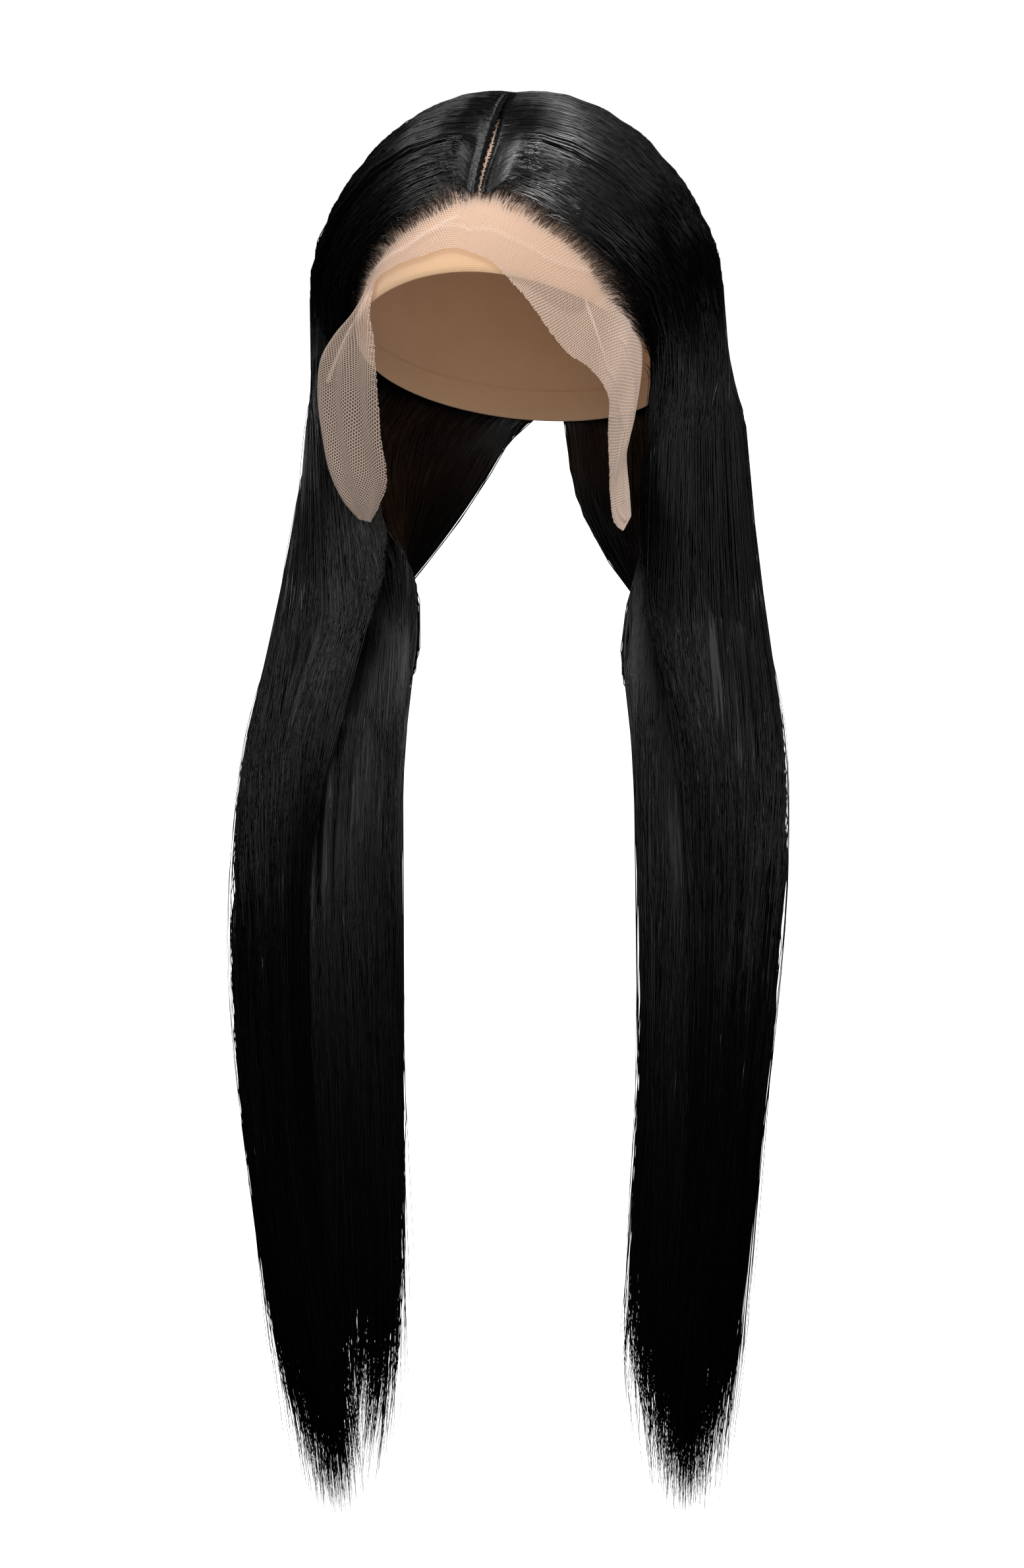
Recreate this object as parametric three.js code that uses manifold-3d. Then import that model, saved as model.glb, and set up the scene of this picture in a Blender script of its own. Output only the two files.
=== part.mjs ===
// Lace front wig: a cap, a lace front with two hanging ear tabs, and long straight
// hair with a centre part, drawn forward over both shoulders in two falls.
// Millimetres, +Z up, the face looks along -Y, the wearer's left is +X.
// The origin is the seat: the inside of the cap at the crown.

import * as THREE from 'three';
import { ParametricGeometry } from 'three/addons/geometries/ParametricGeometry.js';
import { mergeVertices } from 'three/addons/utils/BufferGeometryUtils.js';
import Module from 'manifold-3d';

// Inside of the cap, an egg that is 560 mm round at its widest level.
const CAP_HALF_WIDTH = 79;
const CAP_HALF_LENGTH = 97;
const CROWN_RISE = 98;
const LOWER_REACH = 140;
const CAP_WALL = 1.2;

// How far the cap's rim lies below the seat.
const FOREHEAD_DROP = 70;
const EAR_DROP = 122;
const NAPE_DROP = 160;

// Lace sheet, and the clearance that it and the hair keep under their flat facets.
const LACE_WALL = 1.0;
const LACE_CLEARANCE = 0.7;
const HAIR_CLEARANCE = 0.7;
const LACE_OFFSET = CAP_WALL + LACE_CLEARANCE;
const HAIR_OFFSET = LACE_OFFSET + LACE_WALL + HAIR_CLEARANCE;
const BACK_HAIR_OFFSET = CAP_WALL + HAIR_CLEARANCE;
const CUT_MARGIN = 1.3;

// Hair: height over the cap beside the open part, where the part has closed, away
// from it, and what the sides gain. The ramps are an angle and a share of the hair.
const PART_HEIGHT = 5;
const CLOSED_PART_HEIGHT = 13;
const CROWN_HEIGHT = 20;
const SIDE_GAIN = 13;
const SIDE_ANGLE = 90;
const SIDE_POWER = 3;
const PART_RAMP = 13;
const HAIRLINE_HEIGHT = HAIR_OFFSET + 1.2;
const HAIRLINE_RAMP = 0.11;
const PART_HALF_GAP = 1.3;
const CLOSED_HALF_GAP = 0.25;
const PART_CLOSES = [0.25, 0.6];

// The shoulders are turned a little to the wearer's left under the head.
const SHOULDER_TURN = 13;
const TURN_STARTS = -120;
const TURN_ENDS = -240;

// Locks along both sides of each section of hair.
const LOCKS = 5;
const GROOVE = 0.16;
const TIP_NOTCH = 0.06;
const LOCK_SHORTFALL = [0.034, 0.0, 0.026, 0.008, 0.04];

// Each guide of hair starts on the part, at an angle from the crown towards the face,
// and runs the shortest way over the head to its place below: for the front hair a
// distance behind the ears' axis, from the hairline back, and for the back hair from
// there to the middle of the nape, at an angle round from the crown.
const FRONT_PART = [52, -28];
const BACK_PART = [-29, -46];
const EAR_LEVEL = -112;
const HAIRLINE_AT_EAR = -29;
const SPLIT_AT_EAR = 56;
const NAPE_ROUND = -110;
const HEAD_STEPS = [0, 0.07, 0.18, 0.36, 0.56, 0.78, 1];

// Falls of hair below the ears, in the shoulders' own frame. Each row is a level:
// its height, the middle and half depth of the fall's section, the angles where the
// front hair's section starts and ends, and the inner edge, seam and outer edge on
// the wearer's right and left. The seam is the front hair's inner edge.
const FALL_LEVELS = [
  { z: -150, y: 14, depth: 54, from: -8, to: 148, right: [62, 76, 110], left: [62, 76, 116] },
  { z: -210, y: 2, depth: 46, from: -25, to: 140, right: [48, 62, 115], left: [58, 64, 122] },
  { z: -250, y: -24, depth: 38, from: -40, to: 134, right: [49, 73, 121], left: [56, 67, 128] },
  { z: -305, y: -46, depth: 30, from: -55, to: 116, right: [57, 98, 136], left: [58, 80, 137] },
  { z: -370, y: -56, depth: 25, from: -60, to: 106, right: [60, 106, 144], left: [65, 91, 139] },
  { z: -450, y: -60, depth: 22, from: -60, to: 102, right: [56, 106, 145], left: [66, 92, 134] },
  { z: -535, y: -62, depth: 20, from: -60, to: 102, right: [55, 101, 137], left: [61, 87, 125] },
  { z: -620, y: -66, depth: 16, from: -60, to: 102, right: [60, 94, 124], left: [60, 84, 115] },
  { z: -668, y: -70, depth: 11, from: -60, to: 102, right: [68, 92, 110], left: [67, 85, 106] },
  { z: -720, y: -73, depth: 6, from: -60, to: 102, right: [76, 90, 101], left: [75, 86, 99] },
];

// The back hair comes round the neck before it joins the falls. Each row is a level.
// On the wearer's right and left it has the angle from the front of the leading edge,
// which comes from behind the ear, and of the trailing edge, then the distance of both
// from the neck's axis.
const NECK_LEVELS = [
  { z: -165, right: [102, 172, 92, 105], left: [102, 172, 92, 105] },
  { z: -195, right: [82, 164, 75, 94], left: [80, 162, 79, 94] },
  { z: -225, right: [63, 148, 59, 88], left: [62, 145, 71, 89] },
  { z: -255, right: [54, 124, 61, 92], left: [54, 122, 69, 93] },
  { z: -280, right: [52, 102, 67, 102], left: [52, 101, 71, 102] },
];
const FIRST_SHARED_LEVEL = 3;

// How far the trailing edge still lies behind the leading edge in the first levels of
// the falls.
const TRAILING_LAG = [44, 22, 7];

// Thickness of the hair away from the head. Round the neck the back hair thins to a
// share of its thickness at the leading edge.
const FRONT_THICKNESS = 12;
const BACK_THICKNESS = 14;
const LEADING_SHARE = 0.14;
const LEADING_RAMP = 0.35;
const BACK_SETBACK = 7;
const BACK_REACH = 0.7;
const BACK_SECTION = [-80, 60];
const SECTION_SHARE = 0.62;

// Lace ribs, from the foot of the wearer's right tab over the forehead to the foot of
// the left tab: the root on the hair's side, the free edge, how far the rib's middle
// stands out, and the depth of its ruffles.
const LACE_RIBS = [
  { root: [-67, -60, -197], edge: [-60, -63, -198], crease: 0, ruffle: 0 },
  { root: [-75, -58, -189], edge: [-54, -67, -189], crease: 1, ruffle: 0.6 },
  { root: [-83, -55, -175], edge: [-49, -71, -176], crease: 2, ruffle: 1 },
  { root: [-88, -52, -155], edge: [-51, -74, -155], crease: 2, ruffle: 1.4 },
  { root: [-90, -52, -134], edge: [-52, -77, -130], crease: 2, ruffle: 1.6 },
  { root: [-87, -55, -117], edge: [-53, -77, -116], crease: 2, ruffle: 1.8 },
  { root: [-79, -58, -105], edge: [-54, -76, -104], crease: 2, ruffle: 1.6 },
  { root: [-68, -62, -93], edge: [-56, -75, -94], crease: 1, ruffle: 1 },
  { root: [-62, -62, -82], edge: [-56, -72, -85], crease: 0, ruffle: 0.5 },
  { root: [-60, -54, -63], edge: [-53, -70, -78], crease: 0, ruffle: 0 },
  { root: [-46, -54, -40], edge: [-42, -78, -70], crease: 0, ruffle: 0 },
  { root: [-26, -54, -22], edge: [-27, -87, -64], crease: 0, ruffle: 0 },
  { root: [-12, -34, -7], edge: [-9, -91, -59], crease: 0, ruffle: 0 },
  { root: [0, -18, -2], edge: [1, -92, -62], crease: 0, ruffle: 0 },
  { root: [12, -34, -7], edge: [10, -92, -66], crease: 0, ruffle: 0 },
  { root: [20, -44, -14], edge: [20, -94, -75], crease: 0, ruffle: 0 },
  { root: [28, -51, -23], edge: [28, -95, -83], crease: 0, ruffle: 0 },
  { root: [38, -54, -34], edge: [38, -94, -97], crease: 0, ruffle: 0 },
  { root: [50, -52, -46], edge: [47, -90, -109], crease: 1, ruffle: 0 },
  { root: [60, -48, -60], edge: [57, -84, -117], crease: 3, ruffle: 0 },
  { root: [69, -42, -82], edge: [64, -76, -130], crease: 5, ruffle: 0.4 },
  { root: [74, -40, -112], edge: [63, -70, -150], crease: 5, ruffle: 0.6 },
  { root: [72, -47, -140], edge: [63, -66, -168], crease: 4, ruffle: 0.6 },
  { root: [69, -52, -160], edge: [63, -64, -181], crease: 2, ruffle: 0.4 },
  { root: [71, -54, -181], edge: [65, -62, -195], crease: 1, ruffle: 0.2 },
  { root: [72, -55, -192], edge: [69, -60, -199], crease: 0, ruffle: 0 },
];
const RUFFLES = 2.5;

// Mesh density.
const CAP_SIDES = 40;
const CAP_RINGS = 9;
const LACE_ACROSS = 7;
const LACE_ALONG = 50;
const HAIR_ACROSS = 4 * LOCKS;
const HAIR_ALONG = 22;
const MERGE_DISTANCE = 1e-3;

const RADIANS = Math.PI / 180;
const mix = THREE.MathUtils.lerp;
const smoothstep = THREE.MathUtils.smoothstep;

const wasm = await Module();
wasm.setup();

// The head's egg, grown by an offset: the half height depends on the side of the
// widest level.
function eggHeight(up, offset) {
  return (up < 0 ? LOWER_REACH : CROWN_RISE) + offset;
}

// A point over the head from unit directions to the left, the face and the crown.
function overHead(left, face, up, offset) {
  return new THREE.Vector3(
    (CAP_HALF_WIDTH + offset) * left,
    -(CAP_HALF_LENGTH + offset) * face,
    -CROWN_RISE + eggHeight(up, offset) * up,
  );
}

// Moves a point that lies inside the grown egg straight out to its surface.
function clearOfHead(point, offset) {
  const up = point.z + CROWN_RISE;
  const reach = Math.hypot(
    point.x / (CAP_HALF_WIDTH + offset),
    point.y / (CAP_HALF_LENGTH + offset),
    up / eggHeight(up, offset),
  );
  if (reach < 1) {
    point.set(point.x / reach, point.y / reach, up / reach - CROWN_RISE);
  }
  return point;
}

// Merges the seams of a parametric skin and drops the triangles that closed up.
function closedSkin(geometry) {
  geometry.deleteAttribute('normal');
  geometry.deleteAttribute('uv');
  const merged = mergeVertices(geometry, MERGE_DISTANCE);
  const corners = merged.getIndex().array;
  const kept = [];
  for (let i = 0; i < corners.length; i += 3) {
    const [a, b, c] = corners.slice(i, i + 3);
    if (a !== b && b !== c && c !== a) kept.push(a, b, c);
  }
  merged.setIndex(kept);
  if (signedVolume(merged) < 0) merged.setIndex(kept.reverse());
  merged.computeVertexNormals();
  return merged;
}

// Six times the volume inside a skin, negative where its faces point inwards.
function signedVolume(geometry) {
  const places = geometry.getAttribute('position');
  const index = geometry.getIndex();
  const corners = [0, 1, 2].map(() => new THREE.Vector3());
  let volume = 0;
  for (let i = 0; i < index.count; i += 3) {
    corners.forEach((corner, k) => corner.fromBufferAttribute(places, index.getX(i + k)));
    volume += corners[0].dot(corners[1].cross(corners[2]));
  }
  return volume;
}

// Closed skin of a bent slab. point(across, along, through) gives the slab's inside,
// each from 0 to 1, and the slab comes to an edge at both ends.
function slabSkin(point, columns, rows) {
  const loop = 2 * columns + 2;
  const skin = (u, v, target) => {
    const step = Math.round(u * loop) % loop;
    const outside = step <= columns;
    const across = outside ? step / columns : (loop - 1 - step) / columns;
    const end = v === 0 || v === 1;
    target.copy(point(across, v, end ? 0.5 : outside ? 0 : 1));
  };
  return closedSkin(new ParametricGeometry(skin, loop, rows));
}

// Height of the cap's rim at an angle round the head, from the face.
function rimHeight(angle) {
  const middle = (FOREHEAD_DROP + NAPE_DROP) / 2;
  const swing = (NAPE_DROP - FOREHEAD_DROP) / 2;
  const even = (middle + EAR_DROP) / 2;
  const twice = (middle - EAR_DROP) / 2;
  return -even + swing * Math.cos(angle) - twice * Math.cos(2 * angle);
}

// The cap: a dome with an open underside, its wall outside the seat's egg.
function capGeometry() {
  const rings = 2 * CAP_RINGS + 1;
  const skin = (u, v, target) => {
    const around = (Math.round(u * CAP_SIDES) % CAP_SIDES) / CAP_SIDES * 2 * Math.PI;
    const ring = Math.round(v * rings);
    const outside = ring <= CAP_RINGS;
    const offset = outside ? CAP_WALL : 0;
    const share = (outside ? ring : rings - ring) / CAP_RINGS;
    const rim = rimHeight(around) + CROWN_RISE;
    const rimAngle = Math.acos(rim / eggHeight(rim, offset));
    const down = rimAngle * share;
    const level = Math.sin(down);
    target.copy(overHead(
      level * Math.sin(around), level * Math.cos(around), Math.cos(down), offset,
    ));
  };
  return closedSkin(new ParametricGeometry(skin, CAP_SIDES, rings));
}

// The lace: one sheet over the forehead, with a tab hanging at each temple.
function laceGeometry() {
  const spline = (column) => new THREE.CatmullRomCurve3(
    LACE_RIBS.map((rib) => new THREE.Vector3(...rib[column])), false, 'centripetal',
  );
  const roots = spline('root');
  const edges = spline('edge');
  const last = LACE_RIBS.length - 1;
  const column = (name, along) => {
    const index = Math.min(Math.floor(along * last), last - 1);
    return mix(LACE_RIBS[index][name], LACE_RIBS[index + 1][name], along * last - index);
  };
  const point = (across, along, through) => {
    const place = roots.getPoint(along).lerp(edges.getPoint(along), across);
    const standsOut = column('crease', along) * Math.sin(Math.PI * across);
    const ruffle = column('ruffle', along) * Math.sin(2 * Math.PI * RUFFLES * across);
    const out = new THREE.Vector3(place.x, place.y, 0).normalize();
    place.addScaledVector(out, standsOut + ruffle);
    clearOfHead(place, LACE_OFFSET);
    const outward = new THREE.Vector3(place.x, place.y, Math.max(place.z + CROWN_RISE, 0));
    return place.addScaledVector(outward.normalize(), LACE_WALL * (1 - through));
  };
  return slabSkin(point, LACE_ACROSS, LACE_ALONG);
}

// Height of the hair's outer side over the cap, by the angle from the part.
function hairHeight(across, closed) {
  const root = mix(PART_HEIGHT, CLOSED_PART_HEIGHT, closed);
  const rise = 1 - Math.exp(-across / PART_RAMP);
  return root + (CROWN_HEIGHT - root) * rise + SIDE_GAIN * (across / SIDE_ANGLE) ** SIDE_POWER;
}

// Turns a point of the falls with the shoulders, more the lower it lies.
function turnWithShoulders(point) {
  const share = smoothstep(-point.z, -TURN_STARTS, -TURN_ENDS);
  return point.applyAxisAngle(new THREE.Vector3(0, 0, 1), SHOULDER_TURN * RADIANS * share);
}

// Direction from the head's middle to the part, by the angle from crown to face.
function partDirection(angle) {
  return new THREE.Vector3(0, Math.sin(angle * RADIANS), Math.cos(angle * RADIANS));
}

// Direction to a place on the side of the head, by its height and distance back.
function sideDirection(back, level) {
  const face = -back / CAP_HALF_LENGTH;
  const up = (level + CROWN_RISE) / LOWER_REACH;
  return new THREE.Vector3(Math.sqrt(1 - face ** 2 - up ** 2), face, up);
}

// A direction some share of the shortest way from one to another.
function between(from, to, share) {
  const turn = new THREE.Quaternion().setFromUnitVectors(from, to);
  return from.clone().applyQuaternion(new THREE.Quaternion().slerp(turn, share));
}

// A point of the hair in a direction from the head's middle.
function hairOverHead(side, direction, height, closed) {
  const point = overHead(...direction, height);
  point.x = side * (point.x + mix(PART_HALF_GAP, CLOSED_HALF_GAP, closed));
  return point;
}

// Guide of the front hair from the part to the tips, share 0 at the hairline and 1
// behind the ear, through 0 on the outside and 1 on the inside.
function frontGuide(side, share, through) {
  const fullness = 1 - Math.exp(-share / HAIRLINE_RAMP);
  const closed = smoothstep(share, ...PART_CLOSES);
  const root = partDirection(mix(...FRONT_PART, share));
  const ear = sideDirection(mix(HAIRLINE_AT_EAR, SPLIT_AT_EAR, share), EAR_LEVEL);
  const points = HEAD_STEPS.map((step) => {
    const direction = between(root, ear, step);
    const across = Math.asin(direction.x) / RADIANS;
    const outer = mix(HAIRLINE_HEIGHT, hairHeight(across, closed), fullness);
    return hairOverHead(side, direction, mix(outer, HAIR_OFFSET, through), closed);
  });
  for (const level of FALL_LEVELS) {
    const [, seam, outer] = side < 0 ? level.right : level.left;
    const start = Math.sin(level.from * RADIANS);
    const width = (outer - seam) / (1 - start);
    const thickness = Math.min(FRONT_THICKNESS, SECTION_SHARE * width, SECTION_SHARE * level.depth);
    const inset = thickness * through;
    const angle = mix(level.from, level.to, share) * RADIANS;
    points.push(turnWithShoulders(new THREE.Vector3(
      side * (outer - width + (width - inset) * Math.sin(angle)),
      level.y - (level.depth - inset) * Math.cos(angle),
      level.z,
    )));
  }
  return new THREE.CatmullRomCurve3(points, false, 'centripetal');
}

// Guide of the back hair, share 0 behind the ear and 1 at the middle of the back.
function backGuide(side, share, through) {
  const root = partDirection(mix(...BACK_PART, share));
  const ear = sideDirection(SPLIT_AT_EAR, EAR_LEVEL);
  const nape = partDirection(NAPE_ROUND);
  const below = between(ear, nape, share);
  const points = HEAD_STEPS.map((step) => {
    const direction = between(root, below, step);
    const across = Math.asin(direction.x) / RADIANS;
    const outer = mix(hairHeight(across, 1), mix(CLOSED_PART_HEIGHT, CROWN_HEIGHT, step), share);
    const inner = mix(HAIR_OFFSET, BACK_HAIR_OFFSET, share);
    return hairOverHead(side, direction, mix(outer, inner, through), 1);
  });
  const neckThickness = BACK_THICKNESS * mix(LEADING_SHARE, 1, smoothstep(share, 0, LEADING_RAMP));
  for (const level of NECK_LEVELS) {
    const [leadAngle, trailAngle, leadRadius, trailRadius] = side < 0 ? level.right : level.left;
    const angle = mix(leadAngle, trailAngle, share) * RADIANS;
    const radius = mix(leadRadius, trailRadius, share) - neckThickness * through;
    points.push(turnWithShoulders(new THREE.Vector3(
      side * radius * Math.sin(angle), -radius * Math.cos(angle), level.z,
    )));
  }
  for (const [index, level] of FALL_LEVELS.slice(FIRST_SHARED_LEVEL).entries()) {
    const [inner, seam, outer] = side < 0 ? level.right : level.left;
    const lag = (TRAILING_LAG[index] ?? 0) * share;
    const width = (mix(seam, outer, BACK_REACH) - inner) / 2;
    const thickness = Math.min(BACK_THICKNESS, SECTION_SHARE * width, SECTION_SHARE * level.depth);
    const inset = thickness * through;
    const angle = mix(...BACK_SECTION, share) * RADIANS;
    points.push(turnWithShoulders(new THREE.Vector3(
      side * (inner + width + (width - inset) * Math.sin(angle)),
      level.y + BACK_SETBACK + lag - (level.depth - inset) * Math.cos(angle),
      level.z,
    )));
  }
  return new THREE.CatmullRomCurve3(points, false, 'centripetal');
}

// One section of hair: its guides side by side, grooved between the locks, with each
// lock ending in a point of its own.
function hairGeometry(guide, side) {
  const curves = new Map();
  const curveAt = (share, through) => {
    const key = `${share} ${through}`;
    if (!curves.has(key)) curves.set(key, guide(side, share, through));
    return curves.get(key);
  };
  const point = (across, along, through) => {
    const lock = Math.min(Math.floor(across * LOCKS), LOCKS - 1);
    const crest = Math.abs(Math.sin(Math.PI * LOCKS * across));
    const length = 1 - LOCK_SHORTFALL[lock] * crest - TIP_NOTCH * (1 - crest);
    const groove = GROOVE * (1 - crest) * (1 - 2 * through);
    const place = curveAt(across, through + groove).getPoint(along * length);
    place.x = side * Math.max(side * place.x, CLOSED_HALF_GAP);
    return place;
  };
  return slabSkin(point, HAIR_ACROSS, HAIR_ALONG);
}

// A closed skin as a solid, moved outwards by a margin.
function solid(geometry, margin = 0) {
  const places = geometry.getAttribute('position').clone();
  const normals = geometry.getAttribute('normal');
  for (let i = 0; i < places.count; i += 1) {
    const moved = new THREE.Vector3().fromBufferAttribute(normals, i).multiplyScalar(margin);
    moved.add(new THREE.Vector3().fromBufferAttribute(places, i));
    places.setXYZ(i, ...moved);
  }
  return new wasm.Manifold(new wasm.Mesh({
    numProp: 3,
    vertProperties: new Float32Array(places.array),
    triVerts: new Uint32Array(geometry.getIndex().array),
  }));
}

// The largest body of what is left when one skin is cut clear of others.
function cutClear(geometry, others) {
  let left = solid(geometry);
  for (const other of others) left = left.subtract(solid(other, CUT_MARGIN));
  const bodies = left.decompose().sort((a, b) => b.volume() - a.volume());
  const mesh = bodies[0].getMesh();
  const cut = new THREE.BufferGeometry();
  cut.setAttribute('position', new THREE.BufferAttribute(mesh.vertProperties, mesh.numProp));
  cut.setIndex(new THREE.BufferAttribute(mesh.triVerts, 1));
  return cut;
}

const CAP_FINISH = { color: 0xd9ac84, roughness: 0.9, metalness: 0 };
const LACE_FINISH = { color: 0xd8b79c, roughness: 0.8, metalness: 0 };
const HAIR_FINISH = { color: 0x0b090a, roughness: 0.35, metalness: 0 };

function piece(name, geometry, finish) {
  const mesh = new THREE.Mesh(geometry, new THREE.MeshStandardMaterial(finish));
  mesh.name = name;
  return mesh;
}

const wig = new THREE.Group();
wig.add(piece('wig_cap', capGeometry(), CAP_FINISH));
wig.add(piece('lace_front', laceGeometry(), LACE_FINISH));
for (const [name, side] of [['right', -1], ['left', 1]]) {
  const front = hairGeometry(frontGuide, side);
  const back = cutClear(hairGeometry(backGuide, side), [front]);
  wig.add(piece(`front_hair_${name}`, front, HAIR_FINISH));
  wig.add(piece(`back_hair_${name}`, back, HAIR_FINISH));
}

export default wig;
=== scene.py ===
"""Lace front wig: a cap, a lace front and long straight hair drawn forward in two falls.

The hair is made of strands. Each strand is a line inside the volume of one section of hair, and a
place in that volume has three coordinates: share across the section, along from the root to the
tip, and through from the outside of the hair to the inside.
"""

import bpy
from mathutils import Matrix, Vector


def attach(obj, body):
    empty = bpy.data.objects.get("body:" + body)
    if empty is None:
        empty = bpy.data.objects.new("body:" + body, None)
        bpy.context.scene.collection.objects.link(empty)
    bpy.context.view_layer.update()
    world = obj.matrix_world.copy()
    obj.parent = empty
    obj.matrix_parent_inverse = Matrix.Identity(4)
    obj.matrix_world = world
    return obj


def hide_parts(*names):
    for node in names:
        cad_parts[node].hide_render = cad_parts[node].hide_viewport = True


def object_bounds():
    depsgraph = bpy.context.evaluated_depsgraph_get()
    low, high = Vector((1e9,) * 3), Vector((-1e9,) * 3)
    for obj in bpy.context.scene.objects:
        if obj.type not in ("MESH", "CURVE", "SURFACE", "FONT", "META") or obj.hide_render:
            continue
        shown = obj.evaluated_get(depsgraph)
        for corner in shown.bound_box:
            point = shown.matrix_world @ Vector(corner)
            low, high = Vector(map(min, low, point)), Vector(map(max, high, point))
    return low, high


bl_info = {
    "name": "Lace Front Wig",
    "version": (1, 0, 0),
    "blender": (4, 5, 0),
    "location": "3D View > Sidebar > Wig",
    "description": "Builds the cap, the lace and the hair of a lace front wig on a plain stage",
    "category": "Object",
}

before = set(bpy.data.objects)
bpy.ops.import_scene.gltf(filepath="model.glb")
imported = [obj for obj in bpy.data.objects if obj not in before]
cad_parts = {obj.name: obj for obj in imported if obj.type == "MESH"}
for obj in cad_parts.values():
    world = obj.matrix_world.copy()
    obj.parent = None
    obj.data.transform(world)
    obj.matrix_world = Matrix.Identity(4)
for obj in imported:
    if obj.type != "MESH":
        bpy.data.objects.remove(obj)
CAD_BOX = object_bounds()

import math
from collections import namedtuple

import bmesh
import bpy
import numpy as np
from bpy.props import FloatProperty, FloatVectorProperty, IntProperty, PointerProperty
from mathutils import Vector

TINY = 1e-9

# Inside of the cap, an egg round the seat, and how far its rim lies below the seat.
CAP_HALF_WIDTH = 0.079
CAP_HALF_LENGTH = 0.097
CROWN_RISE = 0.098
LOWER_REACH = 0.140
FRONT_DROP = 0.070
EAR_DROP = 0.122
NAPE_DROP = 0.160

# Heights over the cap's inside: the cap, the lace, the hair's roots and its inner side.
CAP_HEIGHT = 0.0009
LACE_HEIGHT = 0.0024
ROOT_HEIGHT = 0.0020
HAIR_HEIGHT = 0.0036
BACK_HAIR_HEIGHT = 0.0019

# Outer side of the hair: beside the open part, where the part has closed, away from it,
# what the sides gain, and how fast it rises from the part and from the hairline.
PART_HEIGHT = 0.0031
CLOSED_PART_HEIGHT = 0.0135
CROWN_HEIGHT = 0.020
SIDE_GAIN = 0.013
SIDE_ANGLE = 90
SIDE_POWER = 2.4
PART_RAMP = 26
HAIRLINE_HEIGHT = HAIR_HEIGHT + 0.0012
HAIRLINE_RAMP = 0.11
PART_HALF_GAP = 0.0003
CLOSED_HALF_GAP = 0.00025
PART_CLOSES = (0.25, 0.6)

# The falls are turned a little to the wearer's left below the cap.
FALL_TURN = math.radians(13)
TURN_STARTS = -0.120
TURN_ENDS = -0.240

# Where the guides of hair start on the part, by the angle from the crown to the front, and
# where they pass the ears and the nape.
FRONT_PART = (52, -28)
BACK_PART = (-29, -46)
EAR_LEVEL = -0.112
HAIRLINE_AT_EAR = -0.029
SPLIT_AT_EAR = 0.056
NAPE_ROUND = -110
CAP_STEPS = (0, 0.07, 0.18, 0.36, 0.56, 0.78, 1)

# Falls of hair below the ears, in a frame that turns with them: the height, the middle and half
# depth of the section, the angles where the front hair's section starts and ends, and the
# inner edge, seam and outer edge on the wearer's right and left.
FallLevel = namedtuple("FallLevel", "z y depth start end right left")
FALL_LEVELS = (
    FallLevel(-0.150, 0.014, 0.054, -8, 148, (0.062, 0.076, 0.110), (0.062, 0.076, 0.116)),
    FallLevel(-0.210, 0.002, 0.046, -25, 140, (0.048, 0.062, 0.115), (0.058, 0.064, 0.122)),
    FallLevel(-0.250, -0.024, 0.038, -40, 134, (0.049, 0.073, 0.121), (0.056, 0.067, 0.128)),
    FallLevel(-0.305, -0.046, 0.030, -55, 116, (0.057, 0.098, 0.136), (0.058, 0.080, 0.137)),
    FallLevel(-0.370, -0.056, 0.025, -60, 106, (0.060, 0.106, 0.144), (0.065, 0.091, 0.139)),
    FallLevel(-0.450, -0.060, 0.022, -60, 102, (0.056, 0.106, 0.145), (0.066, 0.092, 0.134)),
    FallLevel(-0.535, -0.062, 0.020, -60, 102, (0.055, 0.101, 0.137), (0.061, 0.087, 0.125)),
    FallLevel(-0.620, -0.066, 0.016, -60, 102, (0.060, 0.094, 0.124), (0.060, 0.084, 0.115)),
    FallLevel(-0.668, -0.070, 0.011, -60, 102, (0.068, 0.092, 0.110), (0.067, 0.085, 0.106)),
    FallLevel(-0.720, -0.073, 0.006, -60, 102, (0.076, 0.090, 0.101), (0.075, 0.086, 0.099)),
)

# The back hair on its way forward under the nape: the height, then on the wearer's right and
# left the angles of the leading and trailing edge from the front and their distances from the
# wig's axis.
NapeLevel = namedtuple("NapeLevel", "z right left")
NAPE_LEVELS = (
    NapeLevel(-0.165, (102, 172, 0.092, 0.105), (102, 172, 0.092, 0.105)),
    NapeLevel(-0.195, (82, 164, 0.075, 0.094), (80, 162, 0.079, 0.094)),
    NapeLevel(-0.225, (63, 148, 0.059, 0.088), (62, 145, 0.071, 0.089)),
    NapeLevel(-0.255, (54, 124, 0.061, 0.092), (54, 122, 0.069, 0.093)),
    NapeLevel(-0.280, (52, 102, 0.067, 0.102), (52, 101, 0.071, 0.102)),
)

# The back hair in the falls: the first level that it shares, how far its trailing edge hangs
# back from there on, and how its sections lie behind the front hair's and thin out in front.
FIRST_SHARED_LEVEL = 3
TRAILING_LAG = (0.044, 0.022, 0.007, 0, 0, 0, 0)
FRONT_THICKNESS = 0.012
BACK_THICKNESS = 0.014
LEADING_SHARE = 0.14
LEADING_RAMP = 0.35
BACK_SETBACK = 0.007
BACK_REACH = 0.7
BACK_SECTION = (-80, 60)
SECTION_SHARE = 0.62

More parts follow.
